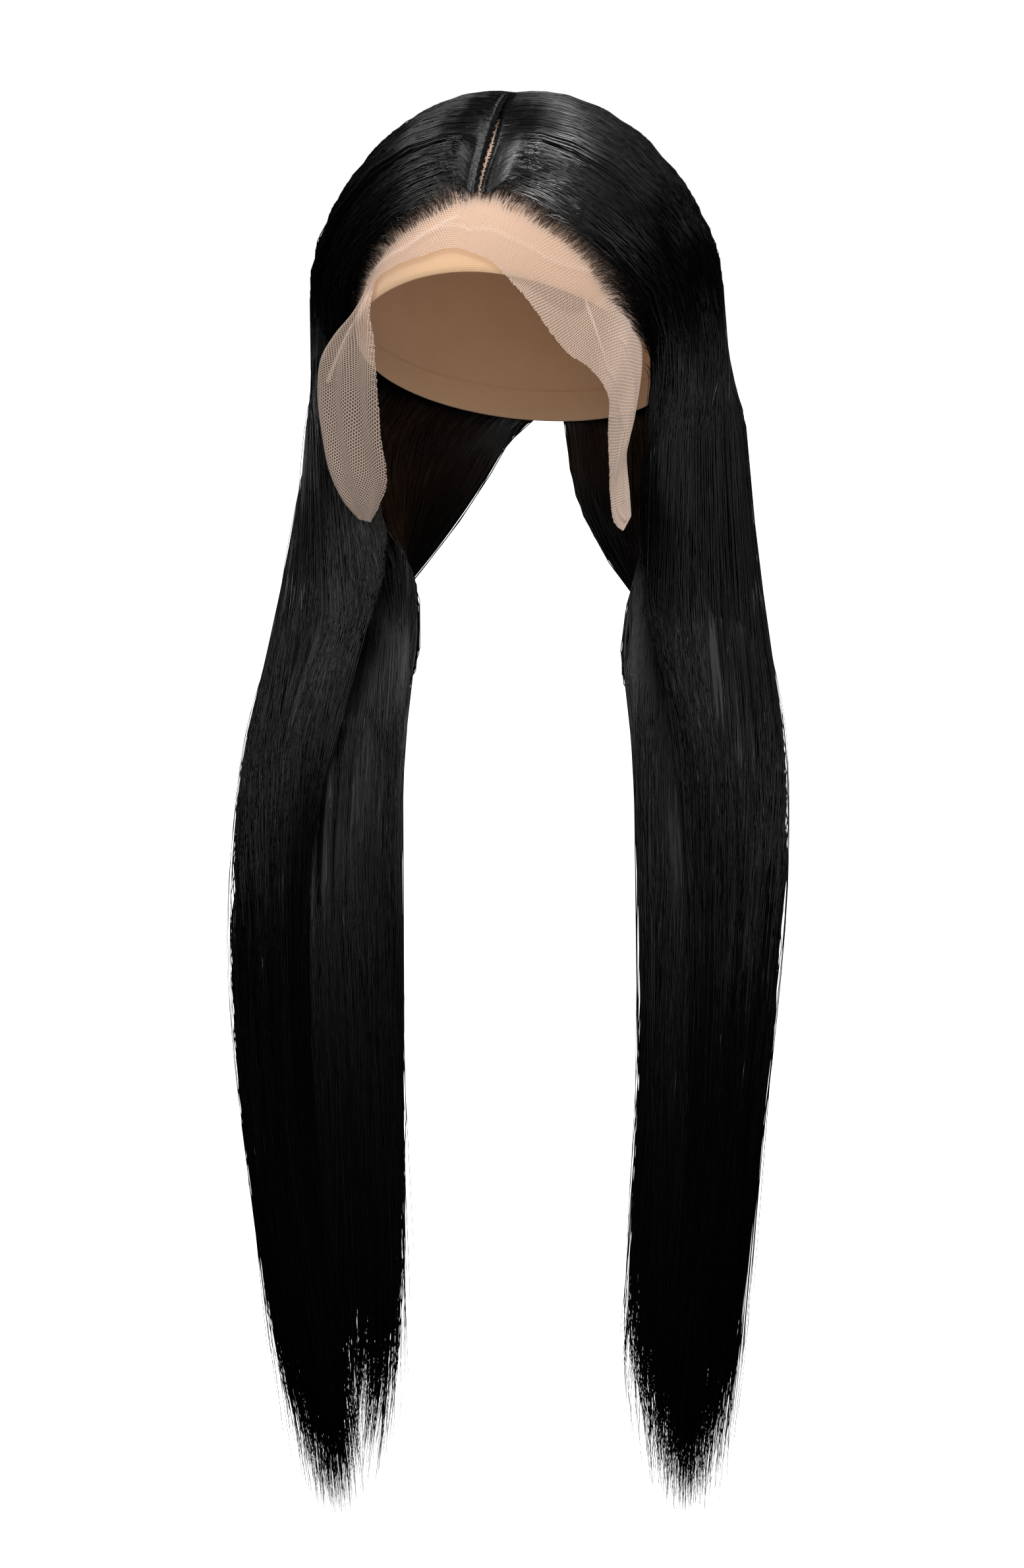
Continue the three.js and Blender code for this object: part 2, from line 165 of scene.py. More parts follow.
# Lace ribs, from the foot of the wearer's right tab round the front to the foot of the left
# tab: the root on the hair's side, the free edge, how far the middle stands out, and the
# depth of the ruffles.
LaceRib = namedtuple("LaceRib", "root edge crease ruffle")
LACE_RIBS = (
    LaceRib((-0.067, -0.060, -0.197), (-0.060, -0.063, -0.198), 0, 0),
    LaceRib((-0.075, -0.058, -0.189), (-0.054, -0.067, -0.189), 0.001, 0.0006),
    LaceRib((-0.083, -0.055, -0.175), (-0.049, -0.071, -0.176), 0.002, 0.0010),
    LaceRib((-0.088, -0.052, -0.155), (-0.051, -0.074, -0.155), 0.002, 0.0014),
    LaceRib((-0.090, -0.052, -0.134), (-0.052, -0.077, -0.130), 0.002, 0.0016),
    LaceRib((-0.087, -0.055, -0.117), (-0.053, -0.077, -0.116), 0.002, 0.0018),
    LaceRib((-0.079, -0.058, -0.105), (-0.054, -0.076, -0.104), 0.002, 0.0016),
    LaceRib((-0.068, -0.062, -0.093), (-0.056, -0.075, -0.094), 0.001, 0.0010),
    LaceRib((-0.062, -0.062, -0.082), (-0.056, -0.072, -0.085), 0, 0.0005),
    LaceRib((-0.060, -0.054, -0.063), (-0.053, -0.070, -0.078), 0, 0),
    LaceRib((-0.046, -0.054, -0.040), (-0.042, -0.078, -0.070), 0, 0),
    LaceRib((-0.026, -0.054, -0.022), (-0.027, -0.087, -0.064), 0, 0),
    LaceRib((-0.012, -0.034, -0.007), (-0.009, -0.091, -0.059), 0, 0),
    LaceRib((0.000, -0.018, -0.002), (0.001, -0.092, -0.062), 0, 0),
    LaceRib((0.012, -0.034, -0.007), (0.010, -0.092, -0.066), 0, 0),
    LaceRib((0.020, -0.044, -0.014), (0.020, -0.094, -0.075), 0, 0),
    LaceRib((0.028, -0.051, -0.023), (0.028, -0.095, -0.083), 0, 0),
    LaceRib((0.038, -0.054, -0.034), (0.038, -0.094, -0.097), 0, 0),
    LaceRib((0.050, -0.052, -0.046), (0.047, -0.090, -0.109), 0.001, 0),
    LaceRib((0.060, -0.048, -0.060), (0.057, -0.084, -0.117), 0.003, 0),
    LaceRib((0.069, -0.042, -0.082), (0.064, -0.076, -0.130), 0.005, 0.0004),
    LaceRib((0.074, -0.040, -0.112), (0.063, -0.070, -0.150), 0.005, 0.0006),
    LaceRib((0.072, -0.047, -0.140), (0.063, -0.066, -0.168), 0.004, 0.0006),
    LaceRib((0.069, -0.052, -0.160), (0.063, -0.064, -0.181), 0.002, 0.0004),
    LaceRib((0.071, -0.054, -0.181), (0.065, -0.062, -0.195), 0.001, 0.0002),
    LaceRib((0.072, -0.055, -0.192), (0.069, -0.060, -0.199), 0, 0),
)
RUFFLES = 2.5

RIGHT = -1
LEFT = 1
SIDES = (("right", RIGHT), ("left", LEFT))


class CapSettings(bpy.types.PropertyGroup):
    """Sizes and colour of the cap"""

    stitch: FloatProperty(
        name="Stitch", description="Width of one cell of the stretch net",
        default=0.0011, unit="LENGTH",
    )
    colour: FloatVectorProperty(
        name="Colour", description="Colour of the stretch net",
        default=(0.86, 0.54, 0.31), subtype="COLOR",
    )


class LaceSettings(bpy.types.PropertyGroup):
    """Sizes and colour of the lace"""

    cell: FloatProperty(
        name="Cell", description="Width of one cell of the net",
        default=0.0013, unit="LENGTH",
    )
    thread: FloatProperty(
        name="Thread", description="Thread width as a share of a cell",
        default=0.24, subtype="FACTOR",
    )
    fray: FloatProperty(
        name="Fray", description="How uneven the cut edge is",
        default=0.0003, unit="LENGTH",
    )
    colour: FloatVectorProperty(
        name="Colour", description="Colour of the threads",
        default=(0.76, 0.57, 0.46), subtype="COLOR",
    )


class HairSettings(bpy.types.PropertyGroup):
    """Sizes, numbers and colours of the hair"""

    strand: FloatProperty(
        name="Strand", description="Width of a strand at its middle",
        default=0.00058, unit="LENGTH",
    )
    front_strands: IntProperty(
        name="Front strands", description="Strands from the part on each side of the front",
        default=1060, min=10,
    )
    hairline_strands: IntProperty(
        name="Hairline strands", description="Strands from the hairline on each side",
        default=820, min=10,
    )
    back_strands: IntProperty(
        name="Back strands", description="Strands on the outside of each side of the back",
        default=1500, min=10,
    )
    inner_strands: IntProperty(
        name="Inner strands", description="Strands on the inside of each section",
        default=110, min=10,
    )
    stray_strands: IntProperty(
        name="Stray strands", description="Loose strands that stand off each section",
        default=48, min=0,
    )
    colour: FloatVectorProperty(
        name="Colour", description="Colour of most of the strands",
        default=(0.0016, 0.0014, 0.0016), subtype="COLOR",
    )
    warm: FloatVectorProperty(
        name="Warm colour", description="Colour of the lightest strands",
        default=(0.0065, 0.0042, 0.0036), subtype="COLOR",
    )


class StageSettings(bpy.types.PropertyGroup):
    """Camera and floor"""

    azimuth: FloatProperty(
        name="Azimuth", description="Angle of the camera round the wig, from the front",
        default=math.radians(13), subtype="ANGLE",
    )
    elevation: FloatProperty(
        name="Elevation", description="Angle of the camera above the horizon",
        default=math.radians(11.5), subtype="ANGLE",
    )
    distance: FloatProperty(
        name="Distance", description="Distance of the camera from its target",
        default=1.873, unit="LENGTH",
    )
    target: FloatVectorProperty(
        name="Target", description="The point that the camera looks at",
        default=(0.0124, -0.060, -0.3295), subtype="TRANSLATION",
    )
    lens: FloatProperty(
        name="Lens", description="Focal length of the camera, in millimetres", default=85,
    )
    floor_gap: FloatProperty(
        name="Floor gap", description="Height of the hair's tips over the floor",
        default=0.10, unit="LENGTH",
    )
    floor_colour: FloatVectorProperty(
        name="Floor colour", description="Colour of the floor",
        default=(0.92, 0.92, 0.92), subtype="COLOR",
    )


# Curves and surfaces over the cap

def mix(start, end, share):
    return start + (end - start) * share


def smoothstep(value, low, high):
    share = np.clip((value - low) / (high - low), 0, 1)
    return share * share * (3 - 2 * share)


def spline(points, along):
    """Places on centripetal Catmull-Rom curves: one curve and one share of its length a row."""
    last = points.shape[1] - 1
    before = 2 * points[:, :1] - points[:, 1:2]
    after = 2 * points[:, -1:] - points[:, -2:-1]
    padded = np.concatenate((before, points, after), axis=1)
    index = np.clip(np.floor(along * last), 0, last - 1).astype(int)
    step = (along * last - index)[:, None]
    rows = np.arange(len(index))
    a, b, c, d = (padded[rows, index + k] for k in range(4))
    ab, bc, cd = (
        np.sqrt(np.linalg.norm(end - start, axis=1, keepdims=True)) + TINY
        for start, end in ((a, b), (b, c), (c, d))
    )
    leave = ((b - a) / ab - (c - a) / (ab + bc) + (c - b) / bc) * bc
    arrive = ((c - b) / bc - (d - b) / (bc + cd) + (d - c) / cd) * bc
    square = 3 * (c - b) - 2 * leave - arrive
    cube = 2 * (b - c) + leave + arrive
    return b + step * (leave + step * (square + step * cube))


def over_cap(direction, height):
    """Points over the cap from unit directions to the left, the front and the crown."""
    left, front, up = np.moveaxis(direction, -1, 0)
    reach = np.where(up < 0, LOWER_REACH, CROWN_RISE)
    return np.stack((
        (CAP_HALF_WIDTH + height) * left,
        -(CAP_HALF_LENGTH + height) * front,
        -CROWN_RISE + (reach + height) * up,
    ), axis=-1)


def clear_of_cap(points, height):
    """Moves points that lie inside the grown egg straight out to its surface."""
    middle = np.array((0, 0, -CROWN_RISE))
    off = points - middle
    upright = np.where(off[:, 2] < 0, LOWER_REACH, CROWN_RISE) + height
    reach = np.sqrt(
        (off[:, 0] / (CAP_HALF_WIDTH + height)) ** 2
        + (off[:, 1] / (CAP_HALF_LENGTH + height)) ** 2
        + (off[:, 2] / upright) ** 2
    )
    return middle + off / np.minimum(reach, 1)[:, None]


def part_direction(angle):
    """Direction to the part, by the angle from the crown to the front."""
    turn = np.radians(angle)
    return np.stack((np.zeros_like(turn), np.sin(turn), np.cos(turn)), axis=-1)


def side_direction(back, level):
    """Direction to a place on the side of the cap, by its height and distance back."""
    front = -back / CAP_HALF_LENGTH
    up = np.full_like(front, (level + CROWN_RISE) / LOWER_REACH)
    return np.stack((np.sqrt(1 - front ** 2 - up ** 2), front, up), axis=-1)


def between(start, end, share):
    """Directions some share of the shortest way from one to another."""
    angle = np.arccos(np.clip((start * end).sum(-1, keepdims=True), -1, 1))
    share = np.reshape(share, (-1, 1))
    return (np.sin((1 - share) * angle) * start + np.sin(share * angle) * end) / np.sin(angle)


def turn_falls(points):
    """Turns points of the falls round the wig's axis, more the lower they lie."""
    angle = FALL_TURN * smoothstep(-points[:, 2], -TURN_STARTS, -TURN_ENDS)
    x, y, z = points.T
    return np.stack((
        x * np.cos(angle) - y * np.sin(angle), x * np.sin(angle) + y * np.cos(angle), z,
    ), axis=-1)


# The volume of the hair

def hair_height(across, closed):
    """Height of the hair's outer side over the cap, by the angle from the part."""
    root = mix(PART_HEIGHT, CLOSED_PART_HEIGHT, closed)
    rise = 1 - np.exp(-across / PART_RAMP)
    return root + (CROWN_HEIGHT - root) * rise + SIDE_GAIN * (across / SIDE_ANGLE) ** SIDE_POWER


def hair_over_cap(side, direction, height, closed):
    points = over_cap(direction, height)
    points[:, 0] = side * (points[:, 0] + mix(PART_HALF_GAP, CLOSED_HALF_GAP, closed))
    return points


def on_side(level, side):
    return level.right if side == RIGHT else level.left


def front_guides(side, share, through, sink):
    """Guides of the front hair, from the hairline at share 0 to behind the ear at 1. sink is how
    far they are drawn down to their roots."""
    fullness = 1 - np.exp(-np.maximum(share, 0) / HAIRLINE_RAMP)
    closed = smoothstep(share, *PART_CLOSES)
    root = part_direction(mix(*FRONT_PART, share))
    ear = side_direction(mix(HAIRLINE_AT_EAR, SPLIT_AT_EAR, share), EAR_LEVEL)
    points = []
    for step in CAP_STEPS:
        direction = between(root, ear, step)
        across = np.degrees(np.arcsin(np.clip(direction[:, 0], 0, 1)))
        outer = mix(HAIRLINE_HEIGHT, hair_height(across, closed), fullness)
        height = mix(mix(outer, HAIR_HEIGHT, through), ROOT_HEIGHT, sink)
        points.append(hair_over_cap(side, direction, height, closed))
    for level in FALL_LEVELS:
        _, seam, outer = on_side(level, side)
        width = (outer - seam) / (1 - math.sin(math.radians(level.start)))
        thickness = min(FRONT_THICKNESS, SECTION_SHARE * width, SECTION_SHARE * level.depth)
        inset = thickness * through
        angle = np.radians(mix(level.start, level.end, share))
        points.append(turn_falls(np.stack((
            side * (outer - width + (width - inset) * np.sin(angle)),
            level.y - (level.depth - inset) * np.cos(angle),
            np.full_like(angle, level.z),
        ), axis=-1)))
    return np.stack(points, axis=1)


def back_guides(side, share, through, sink):
    """Guides of the back hair, from behind the ear at share 0 to the middle of the back at 1."""
    root = part_direction(mix(*BACK_PART, share))
    ear = side_direction(np.full_like(share, SPLIT_AT_EAR), EAR_LEVEL)
    nape = part_direction(np.full_like(share, NAPE_ROUND))
    below = between(ear, nape, share)
    points = []
    for step in CAP_STEPS:
        direction = between(root, below, step)
        across = np.degrees(np.arcsin(np.clip(direction[:, 0], 0, 1)))
        middle = mix(CLOSED_PART_HEIGHT, CROWN_HEIGHT, step)
        outer = mix(hair_height(across, 1), middle, share)
        inner = mix(HAIR_HEIGHT, BACK_HAIR_HEIGHT, share)
        height = mix(mix(outer, inner, through), ROOT_HEIGHT, sink)
        points.append(hair_over_cap(side, direction, height, 1))
    nape_thickness = BACK_THICKNESS * mix(LEADING_SHARE, 1, smoothstep(share, 0, LEADING_RAMP))
    for level in NAPE_LEVELS:
        lead_angle, trail_angle, lead_radius, trail_radius = on_side(level, side)
        angle = np.radians(mix(lead_angle, trail_angle, share))
        radius = mix(lead_radius, trail_radius, share) - nape_thickness * through
        points.append(turn_falls(np.stack((
            side * radius * np.sin(angle), -radius * np.cos(angle), np.full_like(angle, level.z),
        ), axis=-1)))
    for level, lag in zip(FALL_LEVELS[FIRST_SHARED_LEVEL:], TRAILING_LAG):
        inner, seam, outer = on_side(level, side)
        width = (mix(seam, outer, BACK_REACH) - inner) / 2
        thickness = min(BACK_THICKNESS, SECTION_SHARE * width, SECTION_SHARE * level.depth)
        inset = thickness * through
        angle = np.radians(mix(*BACK_SECTION, share))
        points.append(turn_falls(np.stack((
            side * (inner + width + (width - inset) * np.sin(angle)),
            level.y + BACK_SETBACK + lag * share - (level.depth - inset) * np.cos(angle),
            np.full_like(angle, level.z),
        ), axis=-1)))
    return np.stack(points, axis=1)


def hair_places(guides, side, share, along, through, sink):
    """Places in the volume of one section of hair, for arrays of its coordinates."""
    shape = np.broadcast_shapes(*(np.shape(each) for each in (share, along, through, sink)))
    share, along, through, sink = (
        np.broadcast_to(each, shape).ravel() for each in (share, along, through, sink)
    )
    places = spline(guides(side, share, through, sink), along)
    places[:, 0] = side * np.maximum(side * places[:, 0], CLOSED_HALF_GAP)
    return places.reshape(*shape, 3)


# Strands

STRAND_MAP = "strands"
STRAND_SIDES = 3
ANY_DIRECTION = (0.31, 0.52, 0.79)

# Rings of a strand as shares of its length: even, close at a root on the hairline, and close
# over the cap for strands from the part.
EVEN_RINGS = np.linspace(0, 1, 16)[None, :]
ROOT_RINGS = np.array((
    (0, 0.010, 0.026, 0.05, 0.085, 0.125, 0.17, 0.22, 0.285, 0.36, 0.45, 0.56, 0.69, 0.83, 0.95, 1),
))
PART_RINGS = np.array((
    (0, 0.026, 0.05, 0.085, 0.125, 0.17, 0.22, 0.28, 0.335, 0.385, 0.445, 0.55, 0.69, 0.83, 0.95, 1),
))

# Tips: the locks across a section, the usual end of a strand along its guide, how uneven it is
# from lock to lock and from strand to strand, and how the ends gather in locks and sway.
TIP_LOCKS = 24
TIP_LENGTH = 0.935
TIP_LIMITS = (0.82, 1.0)
LOCK_UNEVEN = 0.018
STRAND_UNEVEN = 0.034
GATHER_SHARE = 0.35
GATHER_RUN = (0.86, 1.0)
SWAY = (0.0062, 0.0030, 0)
SWAY_RUN = (0.74, 1.0)
SWAY_POWER = 1.3

# Widths: the range from strand to strand, and the shares of the full width at root and tip.
WIDTH_RANGE = (0.7, 1.25)
ROOT_WIDTH = 0.62
HAIRLINE_ROOT_WIDTH = 0.4
ROOT_TAPER = (0, 0.2)
TIP_WIDTH = 0.3
TIP_TAPER = (0.82, 1)

# Stretches of a guide where the hair leaves the cap and where it comes to hang, and the
# least share across a section.
LEAVES_CAP = (0.34, 0.5)
FALL_RUN = (0.25, 0.8)
EDGE_SHARE = 0.002

# The swoop: hair by the hairline is drawn back from the part under the hair behind it.
SWOOP_SHARE = (0.14, 0.36)
SWOOP_STARTS = (0.02, 0.12)
SWOOP_ENDS = (0.32, 0.5)
SWOOP_DEPTH = 0.40
SWOOP_SHIFT = 0.13

# Strands from the part. They drift together and stray one by one across the section, lie in
# layers and between locks, and start unevenly along the open part. Pairs are on the cap and
# in the fall.
FIRST_SWEPT_SHARE = 0.018
DRIFT = (0.003, 0.012)
FALL_STRAY = 0.018
FALL_STRAY_RUN = (0.3, 1.0)
CAP_STRAY = 0.007
CAP_STRAY_RUN = (0, 0.09)
LAYER_DEPTH = (0.12, 0.20)
LAYER_POWER = 1.4
LOCK_DEPTH = (0.04, 0.22)
COARSE_LOCKS = 5
FINE_LOCKS = 21
COARSE_SHARE = 0.6
LOCK_BEND = 0.012
PART_UNEVEN = 0.0014
PART_MIDDLE = 0.45
PART_SWING = 1.3

# Waves of those drifts and bends: their number, and their usual turns across and along.
DRIFT_WAVES = (7, 9, 1.0)
LOCK_WAVES = (5, 6, 1.2)
PART_WAVES = (5, 60, 0)
INNER_WAVES = (7, 16, 1.6)

# Strands on the inside of a section: where they start, how they drift and how deep they lie.
INNER_START = 0.3
INNER_DRIFT = 0.012
INNER_DEPTH = (0.8, 1.0)

# Strands from the hairline: the shares of their roots at the part, at the temples and behind
# the hairline, how far back they rise, where they end in the fall, and how deep they lie.
HAIRLINE_SHARE = -0.012
TEMPLE_SHARE = {RIGHT: -0.09, LEFT: -0.17}
TEMPLE_RUN = (0.4, 0.8)
BEHIND_SHARE = 0.085
RISE = (0.08, 0.20)
TEMPLE_RISE = 0.6
RISE_UNEVEN = 0.008
RISE_LENGTH = 0.032
SLOW_START = 0.03
HAIRLINE_ENDS = (0.0, 0.28)
JOIN_RUN = (0.30, 0.52)
UNDER_DEPTH = (0.30, 0.60)
UNDER_UNEVEN = 0.06
JOINED_DEPTH = 0.15
SINK_RUN = (0, 0.03)

# Loose strands: where they leave a fall, how long they are and how far they stand off it.
STRAY_START = (0.36, 0.80)
STRAY_LENGTH = (0.10, 0.3)
STRAY_LIMIT = 0.995
STRAY_SHIFT = 0.06
STRAY_ARCH = (0.5, 1)
STRAY_OFF = (0.02, 0.12)
STRAY_EDGE = 0.01
STRAY_WIDTH = 0.5


def waves(rng, count, across_rate, along_rate):
    """A smooth random field over share and along, from -1 to 1."""
    rates = rng.normal(0, 1, (count, 2)) * (across_rate, along_rate)
    phases = rng.uniform(0, 2 * math.pi, count)

    def field(share, along):
        total = 0
        for (across_turns, along_turns), phase in zip(rates, phases):
            total = total + np.sin(2 * math.pi * (across_turns * share + along_turns * along) + phase)
        return total / count
    return field


def spread(rng, count):
    """Even random shares from 0 to 1, in a random order."""
    return rng.permutation((np.arange(count) + rng.random(count)) / count)


def tip_lengths(rng, share):
    """Lengths of strands as shares of the guides, uneven from lock to lock and within a lock."""
    lock = np.floor(share * TIP_LOCKS).astype(int)
    uneven = rng.normal(size=TIP_LOCKS + 1)[lock]
    lengths = TIP_LENGTH + LOCK_UNEVEN * uneven + STRAND_UNEVEN * rng.normal(size=len(share))
    return np.clip(lengths, *TIP_LIMITS)[:, None]


def gathered(share, moved, along):
    """Draws the lower ends of strands towards the middle of their lock."""
    middle = (np.floor(share * TIP_LOCKS) + 0.5) / TIP_LOCKS
    return mix(moved, middle, GATHER_SHARE * smoothstep(along, *GATHER_RUN))


def loosened(rng, points, along):
    """Lets the lower ends of strands stray from their section, each in its own direction."""
    sway = rng.normal(0, 1, (len(points), 1, 3)) * SWAY
    return points + sway * smoothstep(along, *SWAY_RUN)[..., None] ** SWAY_POWER


def strand_radii(rng, rings, count, width, root_share=ROOT_WIDTH):
    """Radii of strands at their rings: fine at the root, full in the middle, thin at the tip."""
    full = width / 2 * rng.uniform(*WIDTH_RANGE, (count, 1))
    root = mix(root_share, 1, smoothstep(rings, *ROOT_TAPER))
    tip = mix(1, TIP_WIDTH, smoothstep(rings, *TIP_TAPER))
    return full * root * tip


def tubes(points, radii):
    """Corners, quads and triangles of three-sided strands that end in a point."""
    count, rings, _ = points.shape
    tangents = np.gradient(points, axis=1)
    tangents /= np.linalg.norm(tangents, axis=2, keepdims=True) + TINY
    normal = np.cross(tangents[:, 0], ANY_DIRECTION)
    corners = []
    for ring in range(rings - 1):
        tangent = tangents[:, ring]
        normal = normal - tangent * (normal * tangent).sum(1, keepdims=True)
        normal /= np.linalg.norm(normal, axis=1, keepdims=True) + TINY
        other = np.cross(tangent, normal)
        for corner in range(STRAND_SIDES):
            angle = 2 * math.pi * corner / STRAND_SIDES
            out = math.cos(angle) * normal + math.sin(angle) * other
            corners.append(points[:, ring] + radii[:, ring, None] * out)
    corners.append(points[:, -1])
    places = np.stack(corners, axis=1)
    each = places.shape[1]
    k = np.arange(STRAND_SIDES)
    after = (k + 1) % STRAND_SIDES
    near = STRAND_SIDES * np.arange(rings - 2)[:, None]
    far = near + STRAND_SIDES
    quads = np.stack((near + k, near + after, far + after, far + k), -1)
    last = STRAND_SIDES * (rings - 2)
    tips = np.stack((last + k, last + after, np.full(STRAND_SIDES, each - 1)), -1)
    ends = np.concatenate((tips, [k[::-1]]))
    first = each * np.arange(count)[:, None, None]
    return places.reshape(-1, 3), (first + quads.reshape(1, -1, 4)), (first + ends[None])


def strand_mesh(name, bundles):
    """A mesh of bundles of strands. Each bundle has points, radii, shares and places along."""
    places, quads, triangles, maps = [], [], [], []
    offset = 0
    for points, radii, share, along in bundles:
        corners, four, three = tubes(points, radii)
        count, rings = points.shape[:2]
        ring = np.append(np.repeat(np.arange(rings - 1), STRAND_SIDES), rings - 1)
        across = np.broadcast_to(share[:, None], (count, len(ring)))
        maps.append(np.stack((across, along[:, ring]), -1).reshape(-1, 2))
        places.append(corners)
        quads.append(four.reshape(-1, 4) + offset)
        triangles.append(three.reshape(-1, 3) + offset)
        offset += len(corners)
    places, maps = np.concatenate(places), np.concatenate(maps)
    quads, triangles = np.concatenate(quads), np.concatenate(triangles)
    corners = np.concatenate((quads.ravel(), triangles.ravel()))
    sizes = np.concatenate((np.full(len(quads), 4), np.full(len(triangles), 3)))
    mesh = bpy.data.meshes.new(name)
    mesh.vertices.add(len(places))
    mesh.vertices.foreach_set("co", places.ravel())
    mesh.loops.add(len(corners))
    mesh.loops.foreach_set("vertex_index", corners)
    mesh.polygons.add(len(sizes))
    mesh.polygons.foreach_set("loop_start", np.cumsum(sizes) - sizes)
    uv = mesh.uv_layers.new(name=STRAND_MAP)
    uv.uv.foreach_set("vector", maps[corners].ravel())
    mesh.update(calc_edges=True)
    mesh.validate()
    return mesh


def locks(share, along, field):
    """How deep a strand lies between two locks, from 0 on a lock to 1 between two."""
    moved = share + LOCK_BEND * field(share * 2, along)
    coarse = 1 - np.abs(np.sin(math.pi * COARSE_LOCKS * moved))
    fine = 1 - np.abs(np.sin(math.pi * FINE_LOCKS * moved + 2 * field(share, along)))
    return COARSE_SHARE * coarse ** 3 + (1 - COARSE_SHARE) * fine ** 2


def swoop(share, along):
    """How far the hair in front of the swoop lies under it, away from the part and above the ears."""
    front = 1 - smoothstep(share, *SWOOP_SHARE)
    return front * smoothstep(along, *SWOOP_STARTS) * (1 - smoothstep(along, *SWOOP_ENDS))


def outer_strands(rng, guides, side, count, width, swept):
    """Strands on the outside of a section, from its part to the tips. swept draws the ones by the
    hairline back under the swoop."""
    drift = waves(rng, *DRIFT_WAVES)
    deep = waves(rng, *LOCK_WAVES)
    share = mix(FIRST_SWEPT_SHARE * swept, 1, spread(rng, count))
    each = share[:, None]
    along = PART_RINGS * tip_lengths(rng, share)
    lower = smoothstep(along, *FALL_RUN)
    moved = each + mix(*DRIFT, lower) * drift(each, along)
    moved = moved + FALL_STRAY * rng.normal(0, 1, (count, 1)) * smoothstep(along, *FALL_STRAY_RUN)
    moved = moved + CAP_STRAY * rng.normal(0, 1, (count, 1)) * smoothstep(along, *CAP_STRAY_RUN)
    moved = gathered(each, moved + swept * SWOOP_SHIFT * swoop(each, along), along)
    layer = rng.random(count)[:, None] ** LAYER_POWER
    depth = mix(*LAYER_DEPTH, lower) * layer + mix(*LOCK_DEPTH, lower) * locks(each, along, deep)
    depth = depth + swept * SWOOP_DEPTH * swoop(each, along)
    points = hair_places(guides, side, np.clip(moved, EDGE_SHARE, 1), along, depth, 0)
    open_part = 1 - smoothstep(share, *PART_CLOSES)
    ragged = waves(rng, *PART_WAVES)
    uneven = np.clip(PART_MIDDLE + PART_SWING * ragged(share, 0), 0, 1)
    points[:, 0, 0] += side * PART_UNEVEN * uneven * open_part
    return loosened(rng, points, along), strand_radii(rng, PART_RINGS, count, width), share, along


def inner_strands(rng, guides, side, count, width):
    """Strands on the inside of a section, below the place where it leaves the cap."""
    drift = waves(rng, *INNER_WAVES)
    share = spread(rng, count)
    each = share[:, None]
    along = mix(INNER_START, tip_lengths(rng, share), EVEN_RINGS)
    moved = gathered(each, each + INNER_DRIFT * drift(each, along), along)
    depth = np.broadcast_to(mix(*INNER_DEPTH, rng.random((count, 1))), moved.shape)
    points = hair_places(guides, side, np.clip(moved, EDGE_SHARE, 1), along, depth, 0)
    return loosened(rng, points, along), strand_radii(rng, EVEN_RINGS, count, width), share, along


def hairline_strands(rng, side, count, width):
    """Strands from the hairline. They rise back from it side by side, turn, and join the fall."""
    last = len(CAP_STEPS) + len(FALL_LEVELS) - 2
    step = spread(rng, count)[:, None]
    behind = rng.random((count, 1))
    root_along = np.interp(step, CAP_STEPS, np.arange(len(CAP_STEPS))) / last
    temple = TEMPLE_SHARE[side]
    edge = mix(HAIRLINE_SHARE, temple, smoothstep(step, *TEMPLE_RUN))
    root = mix(edge, BEHIND_SHARE, behind)
    peak = root + mix(*RISE, behind) * mix(1, TEMPLE_RISE, step)
    peak = peak + RISE_UNEVEN * rng.normal(size=(count, 1))
    end = mix(*HAIRLINE_ENDS, behind)
    run = ROOT_RINGS ** 2 / (ROOT_RINGS + SLOW_START) * (1 + SLOW_START)
    along = mix(root_along, tip_lengths(rng, end[:, 0]), run)
    share = mix(root, peak, 1 - np.exp(-ROOT_RINGS / RISE_LENGTH))
    share = gathered(end, mix(share, end, smoothstep(along, *JOIN_RUN)), along)
    under = mix(*UNDER_DEPTH, step) + rng.uniform(-UNDER_UNEVEN, UNDER_UNEVEN, (count, 1))
    depth = mix(under, JOINED_DEPTH, smoothstep(along, *LEAVES_CAP))
    sink = 1 - smoothstep(ROOT_RINGS, *SINK_RUN)
    points = hair_places(front_guides, side, np.clip(share, temple, 1), along, depth, sink)
    radii = strand_radii(rng, ROOT_RINGS, count, width, HAIRLINE_ROOT_WIDTH)
    return loosened(rng, points, along), radii, end[:, 0], along


def stray_strands(rng, guides, side, count, width):
    """Loose strands that stand off the falls of a section."""
    share = spread(rng, count)
    start = rng.uniform(*STRAY_START, (count, 1))
    end = start + rng.uniform(*STRAY_LENGTH, (count, 1))
    along = np.minimum(mix(start, end, EVEN_RINGS), STRAY_LIMIT)
    moved = share[:, None] + rng.normal(0, STRAY_SHIFT, (count, 1)) * EVEN_RINGS ** 2
    arch = np.sin(math.pi * EVEN_RINGS * rng.uniform(*STRAY_ARCH, (count, 1)))
    off = -rng.uniform(*STRAY_OFF, (count, 1)) * arch
    points = hair_places(guides, side, np.clip(moved, STRAY_EDGE, 1), along, off, 0)
    points = loosened(rng, points, along)
    return points, strand_radii(rng, EVEN_RINGS, count, STRAY_WIDTH * width), share, along


# Under the strands: the mass of each section, closed and pointed in locks

MASS_ACROSS = 70
MASS_ALONG = 46
MERGE_DISTANCE = 1e-6

